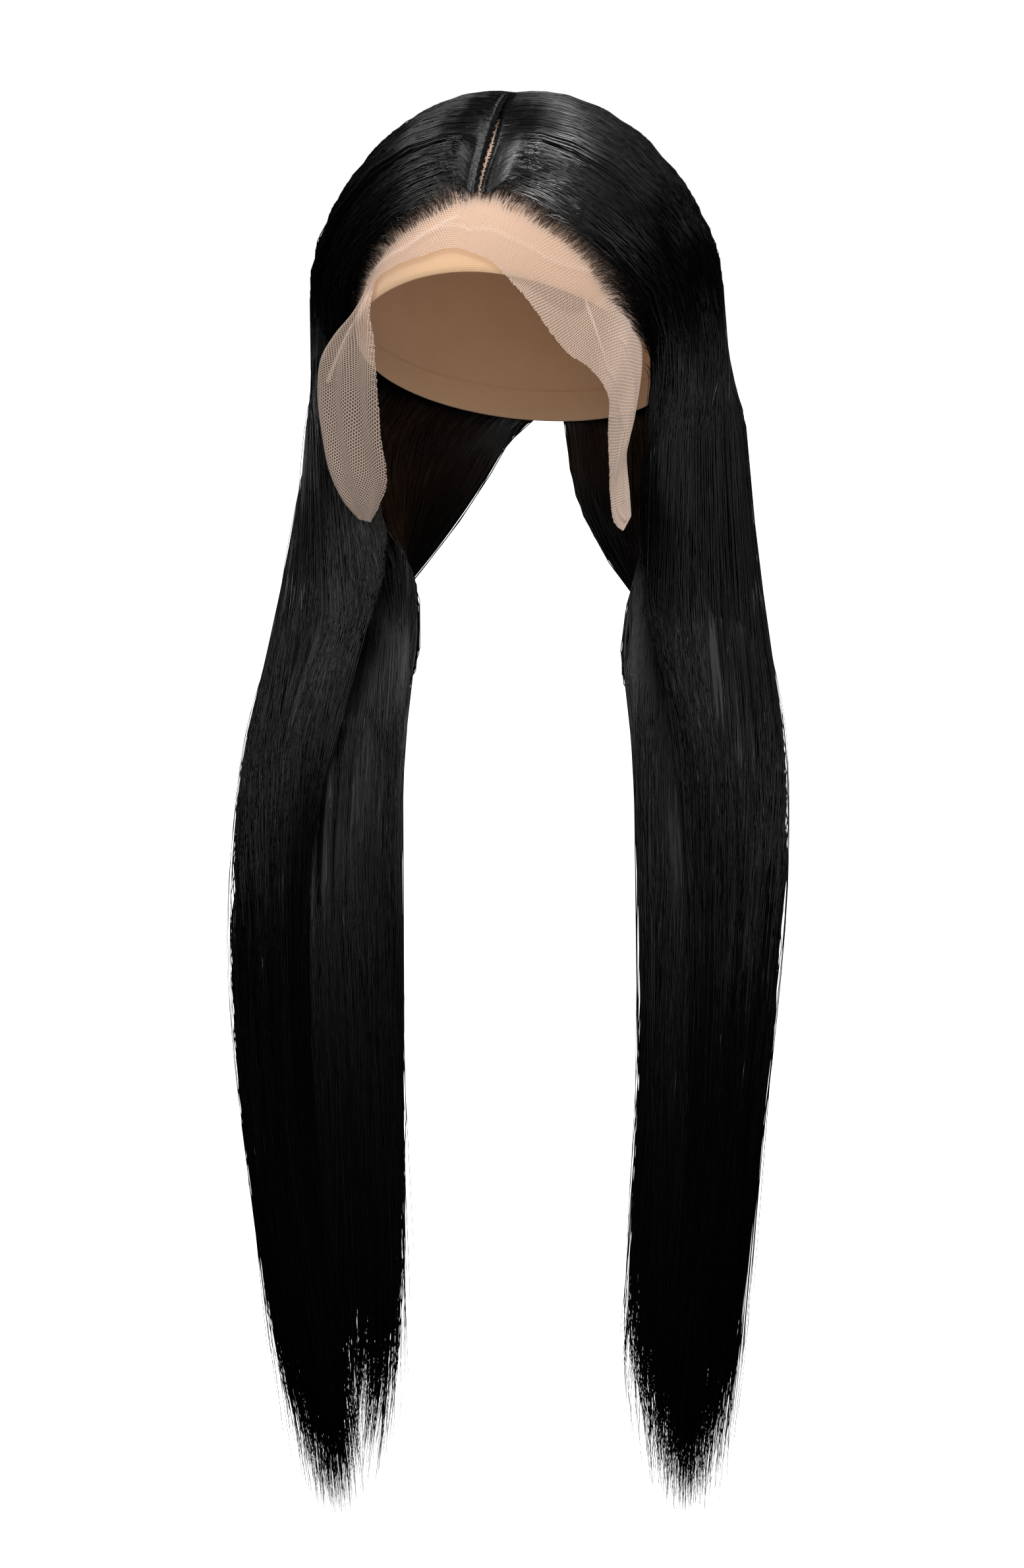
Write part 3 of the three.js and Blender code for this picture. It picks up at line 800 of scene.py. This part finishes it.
# Where it starts and ends along the guides, its locks and the notches between them, its edges
# across the section, and its depth at the part, on the cap and in the fall.
MASS_START = 0.022
MASS_END = 0.905
MASS_LOCKS = 11
MASS_NOTCH = 0.03
FRONT_MASS_EDGE = 0.13
BACK_MASS_EDGE = 0.01
FALL_MASS_EDGES = (0.015, 0.99)
MASS_WIDENS = (0.30, 0.5)
PART_MASS_DEPTH = 0.6
MASS_DEPTH = (0.30, 0.22)
MASS_RISES = (0.03, 0.14)
MASS_SWOOP_DEPTH = 0.45
MASS_SWOOP_SHIFT = 0.12
MASS_GROOVE = 0.08
MASS_GROOVE_RUN = (0.3, 0.6)
MASS_INSIDE = 0.93
MASS_MIDDLE = 0.5
MASS_TAPER = (0.82, 1)


def add_mass(bm, guides, side, cap_edge, swept):
    """Adds the closed under-body of a section of hair to a bmesh."""
    loop = 2 * MASS_ACROSS + 2
    made = bmesh.ops.create_grid(bm, x_segments=loop, y_segments=MASS_ALONG, size=0.5)
    verts = made["verts"]
    grid = np.array([vert.co for vert in verts])[:, :2] + 0.5
    step = np.round(grid[:, 0] * loop).astype(int) % loop
    outside = step <= MASS_ACROSS
    across = np.where(outside, step, loop - 1 - step) / MASS_ACROSS
    v = grid[:, 1]
    crest = 1 - np.abs(2 * (MASS_LOCKS * across % 1) - 1)
    along = MASS_START + v * (MASS_END - MASS_NOTCH * (1 - crest) - MASS_START)
    first, last = FALL_MASS_EDGES
    share = mix(mix(cap_edge, first, smoothstep(along, *MASS_WIDENS)), last, across)
    settled = mix(*MASS_DEPTH, smoothstep(along, *LEAVES_CAP))
    outer = mix(PART_MASS_DEPTH, settled, smoothstep(along, *MASS_RISES))
    outer = outer + swept * MASS_SWOOP_DEPTH * swoop(share - MASS_SWOOP_SHIFT, along)
    groove = MASS_GROOVE * (1 - crest) * smoothstep(along, *MASS_GROOVE_RUN)
    taper = smoothstep(v, *MASS_TAPER)
    outer = mix(outer + groove, MASS_MIDDLE, taper)
    inner = mix(MASS_INSIDE, MASS_MIDDLE, taper)
    ends = (v < TINY) | (v > 1 - TINY)
    depth = np.where(ends, MASS_MIDDLE, np.where(outside, outer, inner))
    places = hair_places(guides, side, share, along, depth, 0)
    uv = bm.loops.layers.uv[STRAND_MAP]
    marks = {}
    for vert, place, mark in zip(verts, places, np.stack((share, along), -1)):
        vert.co = place
        marks[vert] = mark
    faces = list({face for vert in verts for face in vert.link_faces})
    for face in faces:
        face.smooth = True
        for corner in face.loops:
            corner[uv].uv = marks[corner.vert]
    bmesh.ops.remove_doubles(bm, verts=verts, dist=MERGE_DISTANCE)
    bmesh.ops.recalc_face_normals(bm, faces=[face for face in faces if face.is_valid])


def new_piece(name, mesh, material, node):
    """Puts a finished mesh in the scene in place of its node."""
    piece = bpy.data.objects.new(name, mesh)
    bpy.context.scene.collection.objects.link(piece)
    mesh.materials.clear()
    mesh.materials.append(material)
    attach(piece, "root")
    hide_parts(node)
    return piece


def hair_piece(node, bundles, guides, side, cap_edge, swept, finish):
    """One section of hair: its strands and the mass under them."""
    name = f"{node}_strands"
    mesh = strand_mesh(name, bundles)
    bm = bmesh.new()
    bm.from_mesh(mesh)
    for face in bm.faces:
        face.smooth = True
    add_mass(bm, guides, side, cap_edge, swept)
    bm.to_mesh(mesh)
    bm.free()
    new_piece(name, mesh, hair_material(finish), node)


# Materials

CLOTH_MAP = "cloth"
FOLD_MARK = "fold"

# Finishes of the hair: the roughness of its smoothest and its roughest strands.
Finish = namedtuple("Finish", "name smooth rough")
FRONT_FINISH = Finish("black_strands_front", 0.20, 0.32)
BACK_FINISH = Finish("black_strands_back", 0.26, 0.40)

# The pattern of single strands, and the stretches of it where strands turn warm and rough.
STRAND_PATTERN = (420, 2.2, 1)
WARM_RUN = (0.52, 0.78)
ROUGH_RUN = (0.3, 0.7)

# The nets: the painted shade that darkens the cap's gaps between its threads, how its tone varies at
# random and what share of its colour is left at the deepest painted shade, how the lace covers
# between and on its threads and where it is creased, the turn of its cells, and what its pale is of
# its colour. A thread's edge runs between two shares of its width.
CAP_THREAD = 0.5
CAP_GAP_SHADE = (0.82, 1.0)
CAP_TONE = (0.93, 1.0)
CAP_SHADED_SHARE = 0.45
LACE_COVER = (0.05, 0.80)
CREASE_COVER = (0.0, 0.42)
LACE_TURN = 24
LACE_PALE = 1.12
THREAD_EDGE = (0.35, 0.65)

# Reliefs: their height and strength.
CAP_RELIEF = (0.0003, 0.6)
LACE_RELIEF = (0.0002, 0.5)
HAIR_RELIEF = (0.0004, 0.5)


def new_material(name):
    """A material, its node tree and its Principled shader."""
    material = bpy.data.materials.new(name)
    material.use_nodes = True
    tree = material.node_tree
    return material, tree, tree.nodes["Principled BSDF"]


def put(tree, socket, value):
    """Sets an input, by a link or a plain value."""
    if isinstance(value, bpy.types.NodeSocket):
        tree.links.new(value, socket)
    else:
        socket.default_value = value


def fill(tree, node, *values):
    """Sets a node's inputs in order."""
    for socket, value in zip(node.inputs, values):
        put(tree, socket, value)


def named(tree, node, values):
    """Sets a node's inputs by their names."""
    for name, value in values.items():
        put(tree, node.inputs[name], value)


def math_node(tree, operation, *values):
    node = tree.nodes.new("ShaderNodeMath")
    node.operation = operation
    fill(tree, node, *values)
    return node.outputs["Value"]


def vector_node(tree, operation, *values):
    node = tree.nodes.new("ShaderNodeVectorMath")
    node.operation = operation
    fill(tree, node, *values)
    return node.outputs["Value" if operation == "DOT_PRODUCT" else "Vector"]


def ramp_node(tree, value, low, high, start=0.0, end=1.0):
    """A smooth ramp of a value, from start at low to end at high."""
    node = tree.nodes.new("ShaderNodeMapRange")
    node.interpolation_type = "SMOOTHSTEP"
    fill(tree, node, value, low, high, start, end)
    return node.outputs["Result"]


def socket_called(sockets, identifier):
    return next(each for each in sockets if each.identifier == identifier)


def mix_node(tree, data_type, kind, share, first, second):
    """A Mix node of one kind of data, from the first value to the second."""
    node = tree.nodes.new("ShaderNodeMix")
    node.data_type = data_type
    for name, value in (("Factor_Float", share), (f"A_{kind}", first), (f"B_{kind}", second)):
        put(tree, socket_called(node.inputs, name), value)
    return socket_called(node.outputs, f"Result_{kind}")


def colour_mix(tree, share, first, second):
    return mix_node(tree, "RGBA", "Color", share, first, second)


def opaque(colour):
    return (*colour, 1.0)


def net_group():
    """A net of hexagons on a flat map in metres: the thread's mask."""
    name = "hexagon net"
    if name in bpy.data.node_groups:
        return bpy.data.node_groups[name]
    tree = bpy.data.node_groups.new(name, "ShaderNodeTree")
    tree.interface.new_socket("Map", in_out="INPUT", socket_type="NodeSocketVector")
    for label in ("Cell", "Thread"):
        tree.interface.new_socket(label, in_out="INPUT", socket_type="NodeSocketFloat")
    tree.interface.new_socket("Mask", in_out="OUTPUT", socket_type="NodeSocketFloat")
    given = tree.nodes.new("NodeGroupInput").outputs
    result = tree.nodes.new("NodeGroupOutput").inputs
    slope = (0.5, math.sqrt(3) / 2, 0)
    half = (0.5, math.sqrt(3) / 2, 0.5)
    low = tuple(-each for each in half)
    scale = math_node(tree, "DIVIDE", 1.0, given["Cell"])
    shift = vector_node(tree, "SCALE", given["Map"])
    tree.links.new(scale, shift.node.inputs["Scale"])
    near = vector_node(tree, "WRAP", shift, half, low)
    far = vector_node(tree, "WRAP", vector_node(tree, "SUBTRACT", shift, half), half, low)
    flat = (1, 1, 0)
    near = vector_node(tree, "MULTIPLY", near, flat)
    far = vector_node(tree, "MULTIPLY", far, flat)
    closer = math_node(
        tree, "LESS_THAN",
        vector_node(tree, "DOT_PRODUCT", near, near), vector_node(tree, "DOT_PRODUCT", far, far),
    )
    inside = mix_node(tree, "VECTOR", "Vector", closer, far, near)
    size = vector_node(tree, "ABSOLUTE", inside)
    slant = vector_node(tree, "DOT_PRODUCT", size, slope)
    straight = vector_node(tree, "DOT_PRODUCT", size, (1, 0, 0))
    edge = math_node(tree, "SUBTRACT", 0.5, math_node(tree, "MAXIMUM", slant, straight))
    inner, outer = (math_node(tree, "MULTIPLY", given["Thread"], share) for share in THREAD_EDGE)
    tree.links.new(ramp_node(tree, edge, inner, outer, 1.0, 0.0), result["Mask"])
    return tree


def net_mask(tree, map_name, cell, thread, turn):
    """The net group on a piece's own map, turned by an angle."""
    uv = tree.nodes.new("ShaderNodeUVMap")
    uv.uv_map = map_name
    place = tree.nodes.new("ShaderNodeMapping")
    named(tree, place, {"Vector": uv.outputs["UV"], "Rotation": (0, 0, turn)})
    group = tree.nodes.new("ShaderNodeGroup")
    group.node_tree = net_group()
    named(tree, group, {"Map": place.outputs["Vector"], "Cell": cell, "Thread": thread})
    return group.outputs["Mask"]


def bump(tree, height, distance, strength):
    node = tree.nodes.new("ShaderNodeBump")
    named(tree, node, {"Height": height, "Distance": distance, "Strength": strength})
    return node.outputs["Normal"]


def cap_material(settings):
    """Thin stretch net: tan, matt, with fine cells whose gaps between the threads are darkened with
    painted shade.
    """
    material, tree, shader = new_material("stretch_net")
    mask = net_mask(tree, CLOTH_MAP, settings.stitch, CAP_THREAD, 0.0)
    noise = tree.nodes.new("ShaderNodeTexNoise")
    coords = tree.nodes.new("ShaderNodeTexCoord")
    named(tree, noise, {"Vector": coords.outputs["Object"], "Scale": 40})
    # Painted shade in the net's holes: the gaps between the threads are coloured darker than the
    # threads, and the noise adds a random tone on top.
    shade = ramp_node(tree, mask, 0, 1, *CAP_GAP_SHADE)
    tone = ramp_node(tree, noise.outputs["Fac"], 0.3, 0.7, *CAP_TONE)
    share = math_node(tree, "MULTIPLY", shade, tone)
    shaded_colour = opaque([CAP_SHADED_SHARE * each for each in settings.colour])
    named(tree, shader, {
        "Base Color": colour_mix(tree, share, shaded_colour, opaque(settings.colour)),
        "Roughness": 0.75,
        "Sheen Weight": 0.3,
        "Normal": bump(tree, mask, *CAP_RELIEF),
    })
    return material


def lace_material(settings):
    """Sheer net of beige thread, closer where it is creased."""
    material, tree, shader = new_material("lace_net")
    mask = net_mask(tree, CLOTH_MAP, settings.cell, settings.thread, math.radians(LACE_TURN))
    fold = tree.nodes.new("ShaderNodeAttribute")
    fold.attribute_name = FOLD_MARK
    sheer = ramp_node(tree, mask, 0, 1, *LACE_COVER)
    crease = ramp_node(tree, fold.outputs["Fac"], 0, 1, *CREASE_COVER)
    cover = math_node(tree, "ADD", sheer, crease)
    cover.node.use_clamp = True
    pale = opaque([min(1.0, LACE_PALE * each) for each in settings.colour])
    named(tree, shader, {
        "Base Color": colour_mix(tree, fold.outputs["Fac"], opaque(settings.colour), pale),
        "Roughness": 0.7,
        "Sheen Weight": 0.2,
        "Alpha": cover,
        "Normal": bump(tree, mask, *LACE_RELIEF),
    })
    return material


def hair_material(finish):
    """Straight black hair with one finish, a few strands a little warmer."""
    if finish.name in bpy.data.materials:
        return bpy.data.materials[finish.name]
    settings = bpy.context.scene.wig_hair
    material, tree, shader = new_material(finish.name)
    uv = tree.nodes.new("ShaderNodeUVMap")
    uv.uv_map = STRAND_MAP
    place = tree.nodes.new("ShaderNodeMapping")
    named(tree, place, {"Vector": uv.outputs["UV"], "Scale": STRAND_PATTERN})
    noise = tree.nodes.new("ShaderNodeTexNoise")
    named(tree, noise, {"Vector": place.outputs["Vector"], "Scale": 1, "Detail": 3})
    pattern = noise.outputs["Fac"]
    warm = ramp_node(tree, pattern, *WARM_RUN)
    named(tree, shader, {
        "Base Color": colour_mix(tree, warm, opaque(settings.colour), opaque(settings.warm)),
        "Roughness": ramp_node(tree, pattern, *ROUGH_RUN, finish.smooth, finish.rough),
        "Specular IOR Level": 1.0,
        "Normal": bump(tree, pattern, *HAIR_RELIEF),
    })
    return material


# Cap and lace

def sheet_mesh(name, bm, flat_place):
    """A mesh from the bmesh of a sheet and the flat place of each of its vertices, and its area."""
    uv = bm.loops.layers.uv[CLOTH_MAP]
    bmesh.ops.recalc_face_normals(bm, faces=bm.faces)
    for face in bm.faces:
        face.smooth = True
        for corner in face.loops:
            corner[uv].uv = flat_place(corner.vert)
    mesh = bpy.data.meshes.new(name)
    bm.to_mesh(mesh)
    bm.free()
    area = sum(face.area for face in mesh.polygons)
    return mesh, round(area, 4)


def rim_height(angle):
    """Height of the cap's rim at an angle round from the front."""
    middle = (FRONT_DROP + NAPE_DROP) / 2
    swing = (NAPE_DROP - FRONT_DROP) / 2
    even = (middle + EAR_DROP) / 2
    twice = (middle - EAR_DROP) / 2
    return -even + swing * math.cos(angle) - twice * math.cos(2 * angle)


CAP_SIDES = 96
CAP_RINGS = 40
FIRST_RADIUS = 0.01

# Rows of the hem: the share of the way to the rim, and how far it lies inside the cap.
HEM_ROWS = ((1.004, 0.0003), (1.0, 0.0007), (0.97, 0.0007), (0.945, 0.0006))


def cap_point(angle, share, height):
    """A point of the cap: an angle round from the front, a share of the way to the rim."""
    rim = rim_height(angle) + CROWN_RISE
    reach = (LOWER_REACH if rim < 0 else CROWN_RISE) + height
    down = math.acos(rim / reach) * share
    level = math.sin(down)
    direction = np.array((level * math.sin(angle), level * math.cos(angle), math.cos(down)))
    return Vector(over_cap(direction, np.float64(height)))


def other_end(vert, among):
    """The vertex at the other end of one of a vertex's edges, from a given set."""
    ends = (edge.other_vert(vert) for edge in vert.link_edges)
    return next(end for end in ends if end in among)


def flat_cap(vert):
    """A place on the cap laid flat: the distance from the crown along the dome, turned out."""
    across = Vector((vert.co.x, vert.co.y))
    out = math.atan2(across.length, vert.co.z + CROWN_RISE) * CROWN_RISE
    return across.normalized() * out if across.length else across


def make_cap(settings):
    """The cap: a dome drawn ring by ring from the crown, with a hem turned in at the rim."""
    bm = bmesh.new()
    bm.loops.layers.uv.new(CLOTH_MAP)
    made = bmesh.ops.create_circle(
        bm, cap_ends=True, cap_tris=True, segments=CAP_SIDES, radius=FIRST_RADIUS,
    )
    ring = [vert for vert in made["verts"] if vert.co.length > FIRST_RADIUS / 2]
    pole = next(vert for vert in made["verts"] if vert.co.length <= FIRST_RADIUS / 2)
    pole.co = cap_point(0, 0, CAP_HEIGHT)
    angles = {vert: math.atan2(vert.co.x, -vert.co.y) for vert in ring}
    for vert in ring:
        vert.co = cap_point(angles[vert], 1 / CAP_RINGS, CAP_HEIGHT)
    edges = [edge for edge in bm.edges if pole not in edge.verts]
    rows = [(share / CAP_RINGS, CAP_HEIGHT) for share in range(2, CAP_RINGS + 1)]
    rows += [(share, CAP_HEIGHT - inset) for share, inset in HEM_ROWS]
    for share, height in rows:
        grown = bmesh.ops.extrude_edge_only(bm, edges=edges)["geom"]
        edges = [each for each in grown if isinstance(each, bmesh.types.BMEdge)]
        ring = [each for each in grown if isinstance(each, bmesh.types.BMVert)]
        before = {vert: other_end(vert, angles) for vert in ring}
        angles = {vert: angles[before[vert]] for vert in ring}
        for vert in ring:
            vert.co = cap_point(angles[vert], share, height)
    mesh, area = sheet_mesh("wig_cap_net", bm, flat_cap)
    piece = new_piece("wig_cap_net", mesh, cap_material(settings), "wig_cap")


# The sheet of lace: its steps, its width laid flat, and where and how its free edge frays.
LACE_ACROSS = 60
LACE_ALONG = 520
LACE_SEED = 11
FRAYED_FROM = 0.9
NARROWEST_RIB = 0.004

# How close the threads look: everywhere, more down the wearer's left tab, and in ruffles.
CLOSENESS = 0.34
STRIP_CLOSENESS = 0.6
STRIP_STARTS = (0.75, 0.82)
RUFFLE_CLOSENESS = 0.35
RUFFLE_GAIN = 600

# Creases pressed in the lace, each a line of places: along the sheet, and from root to edge.
CREASE_WIDTH = 0.0011
CREASE_RISE = 0.0007
CREASE_STEPS = 60
CREASES = (
    ((0.371, 0.78), (0.415, 0.83), (0.446, 0.78), (0.485, 0.78)),
    ((0.435, 0.77), (0.506, 0.87), (0.575, 0.78), (0.654, 0.62), (0.725, 0.38)),
    ((0.338, 0.72), (0.263, 0.35), (0.206, 0.32), (0.171, 0.22)),
    ((0.731, 0.57), (0.756, 0.72), (0.785, 0.87), (0.823, 0.83), (0.863, 0.65)),
    ((0.790, 0.55), (0.840, 0.45), (0.890, 0.40), (0.950, 0.45)),
    ((0.863, 0.65), (0.900, 0.80), (0.950, 0.75), (0.985, 0.60)),
)


def lace_ribs(along):
    """Roots, free edges, creases and ruffles of the lace at shares of its length."""
    count = len(LACE_RIBS)
    roots = np.repeat(np.array([[rib.root for rib in LACE_RIBS]]), len(along), axis=0)
    edges = np.repeat(np.array([[rib.edge for rib in LACE_RIBS]]), len(along), axis=0)
    places = np.linspace(0, 1, count)
    crease = np.interp(along, places, [rib.crease for rib in LACE_RIBS])
    ruffle = np.interp(along, places, [rib.ruffle for rib in LACE_RIBS])
    return spline(roots, along), spline(edges, along), crease, ruffle


def lace_length():
    """Length of the lace along its middle."""
    along = np.linspace(0, 1, LACE_ALONG)
    root, edge, _, _ = lace_ribs(along)
    middle = clear_of_cap((root + edge) / 2, LACE_HEIGHT)
    return float(np.linalg.norm(np.diff(middle, axis=0), axis=1).sum())


def pressed(u, v, length):
    """How close places of the flat lace lie to a crease, from 0 to 1 on it."""
    marks = np.zeros_like(u)
    for crease in CREASES:
        points = np.array(crease)
        steps = np.linspace(0, len(points) - 1, CREASE_STEPS)
        along, across = (np.interp(steps, np.arange(len(points)), each) for each in points.T)
        root, edge, _, _ = lace_ribs(along)
        line_u = np.linalg.norm(edge - root, axis=1) * (1 - across)
        off = np.hypot(u[:, None] - line_u, v[:, None] - along * length).min(axis=1)
        marks = np.maximum(marks, np.exp(-(off / CREASE_WIDTH) ** 2))
    return marks


def make_lace(settings):
    """The lace: one sheet round the front of the cap, with a tab hanging at each temple."""
    rng = np.random.default_rng(LACE_SEED)
    bm = bmesh.new()
    bm.loops.layers.uv.new(CLOTH_MAP)
    mark = bm.verts.layers.float.new(FOLD_MARK)
    made = bmesh.ops.create_grid(bm, x_segments=LACE_ACROSS, y_segments=LACE_ALONG, size=0.5)
    verts = made["verts"]
    grid = np.array([vert.co for vert in verts])[:, :2] + 0.5
    across, along = grid.T
    root, edge, crease, ruffle = lace_ribs(along)
    fray = settings.fray * rng.normal(size=LACE_ALONG + 1)
    row = np.round(along * LACE_ALONG).astype(int)
    width = np.linalg.norm(edge - root, axis=1)
    reach = across + smoothstep(across, FRAYED_FROM, 1) * fray[row] / np.maximum(width, NARROWEST_RIB)
    places = root + (edge - root) * reach[:, None]
    length = lace_length()
    flat_u, flat_v = width * (1 - reach), along * length
    marks = pressed(flat_u, flat_v, length)
    ruffles = ruffle * np.sin(2 * math.pi * RUFFLES * across)
    stands = crease * np.sin(math.pi * across) + ruffles + CREASE_RISE * marks
    out = places * (1, 1, 0)
    out /= np.linalg.norm(out, axis=1, keepdims=True)
    places = clear_of_cap(places + out * stands[:, None], LACE_HEIGHT)
    fold = RUFFLE_CLOSENESS * np.clip(np.abs(ruffles) * RUFFLE_GAIN, 0, 1)
    fold = np.maximum(fold, CLOSENESS + STRIP_CLOSENESS * smoothstep(along, *STRIP_STARTS))
    fold = np.maximum(fold, marks)
    flat = {}
    for vert, place, value, u, v in zip(verts, places, fold, flat_u, flat_v):
        vert.co = place
        vert[mark] = value
        flat[vert] = (u, v)
    mesh, area = sheet_mesh("lace_front_net", bm, flat.get)
    piece = new_piece("lace_front_net", mesh, lace_material(settings), "lace_front")


# Operators

FRONT_SEED = 20
BACK_SEED = 40


class WIG_OT_cap(bpy.types.Operator):
    """Build the stretch cap"""

    bl_idname = "wig.cap"
    bl_label = "Cap"

    def execute(self, context):
        make_cap(context.scene.wig_cap)
        return {"FINISHED"}


class WIG_OT_lace(bpy.types.Operator):
    """Build the lace front with its two tabs"""

    bl_idname = "wig.lace"
    bl_label = "Lace front"

    def execute(self, context):
        make_lace(context.scene.wig_lace)
        return {"FINISHED"}


class WIG_OT_front_hair(bpy.types.Operator):
    """Build the hair from the part and the hairline on both sides"""

    bl_idname = "wig.front_hair"
    bl_label = "Front hair"

    def execute(self, context):
        settings = context.scene.wig_hair
        for name, side in SIDES:
            rng = np.random.default_rng(FRONT_SEED + side)
            width = settings.strand
            bundles = (
                outer_strands(rng, front_guides, side, settings.front_strands, width, 1),
                hairline_strands(rng, side, settings.hairline_strands, width),
                inner_strands(rng, front_guides, side, settings.inner_strands, width),
                stray_strands(rng, front_guides, side, settings.stray_strands, width),
            )
            node = f"front_hair_{name}"
            hair_piece(node, bundles, front_guides, side, FRONT_MASS_EDGE, 1, FRONT_FINISH)
        return {"FINISHED"}


class WIG_OT_back_hair(bpy.types.Operator):
    """Build the hair from the back of the cap on both sides"""

    bl_idname = "wig.back_hair"
    bl_label = "Back hair"

    def execute(self, context):
        settings = context.scene.wig_hair
        for name, side in SIDES:
            rng = np.random.default_rng(BACK_SEED + side)
            width = settings.strand
            inside = 2 * settings.inner_strands
            bundles = (
                outer_strands(rng, back_guides, side, settings.back_strands, width, 0),
                inner_strands(rng, back_guides, side, inside, width),
                stray_strands(rng, back_guides, side, settings.stray_strands, width),
            )
            node = f"back_hair_{name}"
            hair_piece(node, bundles, back_guides, side, BACK_MASS_EDGE, 0, BACK_FINISH)
        return {"FINISHED"}


# Stage

# Soft square lights: angles in degrees from the front and above the horizon, distance and size
# in metres, and power in watts.
Light = namedtuple("Light", "name azimuth elevation distance size power")
LIGHTS = (
    Light("top_softbox", 42, 70, 1.6, 0.6, 17),
    Light("left_softbox", -85, 52, 1.6, 0.6, 10),
    Light("right_softbox", 95, 32, 1.6, 0.6, 1.5),
    Light("front_softbox", 5, 28, 1.6, 0.6, 2.4),
    Light("low_softbox", 20, 6, 1.6, 0.6, 2.6),
)

# The point that the lights face, the surround's light on the wig and its share in the gloss,
# and the floor's half width and glow.
LIT_PLACE = (0, 0, -0.2)
SURROUND_LIGHT = 0.42
SURROUND_GLOSS = 0.007
FLOOR_REACH = 9
FLOOR_GLOW = 1.1


def from_target(target, azimuth, elevation, distance):
    """A place round the target, by angles from the front and above the horizon."""
    back = Vector((
        math.sin(azimuth) * math.cos(elevation),
        -math.cos(azimuth) * math.cos(elevation),
        math.sin(elevation),
    ))
    return target + distance * back


def aim(thing, place, target):
    thing.location = place
    thing.rotation_euler = (target - place).to_track_quat("-Z", "Y").to_euler()


class WIG_OT_stage(bpy.types.Operator):
    """Build the floor, the lights and the camera"""

    bl_idname = "wig.stage"
    bl_label = "Stage"

    def execute(self, context):
        scene = context.scene
        settings = scene.wig_stage
        target = Vector(settings.target)
        camera = bpy.data.objects.new("camera", bpy.data.cameras.new("camera"))
        camera.data.lens = settings.lens
        scene.collection.objects.link(camera)
        aim(camera, from_target(target, settings.azimuth, settings.elevation, settings.distance), target)
        scene.camera = camera
        middle = Vector(LIT_PLACE)
        for row in LIGHTS:
            lamp = bpy.data.lights.new(row.name, "AREA")
            lamp.size = row.size
            lamp.energy = row.power
            light = bpy.data.objects.new(row.name, lamp)
            scene.collection.objects.link(light)
            angles = math.radians(row.azimuth), math.radians(row.elevation)
            aim(light, from_target(middle, *angles, row.distance), middle)
        make_floor(settings)
        make_world(scene)
        scene.view_settings.view_transform = "Standard"
        return {"FINISHED"}


def make_floor(settings):
    """A wide pale floor under the tips, which the gloss of the hair doesn't mirror."""
    bm = bmesh.new()
    bmesh.ops.create_grid(bm, x_segments=8, y_segments=8, size=FLOOR_REACH)
    bmesh.ops.translate(bm, verts=bm.verts, vec=(0, 0, CAD_BOX[0].z - settings.floor_gap))
    mesh = bpy.data.meshes.new("floor")
    bm.to_mesh(mesh)
    bm.free()
    floor = bpy.data.objects.new("floor", mesh)
    bpy.context.scene.collection.objects.link(floor)
    material, tree, shader = new_material("pale_floor")
    named(tree, shader, {
        "Base Color": opaque(settings.floor_colour),
        "Roughness": 0.9,
        "Specular IOR Level": 0.1,
        "Emission Color": opaque(settings.floor_colour),
        "Emission Strength": FLOOR_GLOW,
    })
    mesh.materials.append(material)
    floor.visible_glossy = False
    floor.visible_diffuse = False


def make_world(scene):
    """A white surround, dim where it lights the wig."""
    world = bpy.data.worlds.new("surround")
    world.use_nodes = True
    scene.world = world
    tree = world.node_tree
    path = tree.nodes.new("ShaderNodeLightPath")
    seen = ramp_node(tree, path.outputs["Is Camera Ray"], 0, 1, SURROUND_LIGHT, 1.0)
    mirrored = ramp_node(tree, path.outputs["Is Glossy Ray"], 0, 1, 1.0, SURROUND_GLOSS)
    strength = math_node(tree, "MULTIPLY", seen, mirrored)
    named(tree, tree.nodes["Background"], {"Color": opaque((1, 1, 1)), "Strength": strength})


class WIG_PT_panel(bpy.types.Panel):
    """The wig's pieces, in the order that they are built"""

    bl_idname = "WIG_PT_panel"
    bl_label = "Lace Front Wig"
    bl_space_type = "VIEW_3D"
    bl_region_type = "UI"
    bl_category = "Wig"

    def draw(self, context):
        for operator in OPERATORS:
            self.layout.operator(operator.bl_idname)
        for name in SETTINGS:
            group = getattr(context.scene, name)
            for key in group.bl_rna.properties.keys():
                if key not in ("rna_type", "name"):
                    self.layout.prop(group, key)


SETTINGS = {
    "wig_cap": CapSettings,
    "wig_lace": LaceSettings,
    "wig_hair": HairSettings,
    "wig_stage": StageSettings,
}
OPERATORS = (WIG_OT_stage, WIG_OT_cap, WIG_OT_lace, WIG_OT_front_hair, WIG_OT_back_hair)


def register():
    for each in (*SETTINGS.values(), *OPERATORS, WIG_PT_panel):
        bpy.utils.register_class(each)
    for name, group in SETTINGS.items():
        setattr(bpy.types.Scene, name, PointerProperty(type=group))


def unregister():
    for name in SETTINGS:
        delattr(bpy.types.Scene, name)
    for each in reversed((*SETTINGS.values(), *OPERATORS, WIG_PT_panel)):
        bpy.utils.unregister_class(each)


def main():
    register()
    bpy.ops.wig.stage()
    bpy.ops.wig.cap()
    bpy.ops.wig.lace()
    bpy.ops.wig.front_hair()
    bpy.ops.wig.back_hair()


if __name__ == "__main__":
    main()
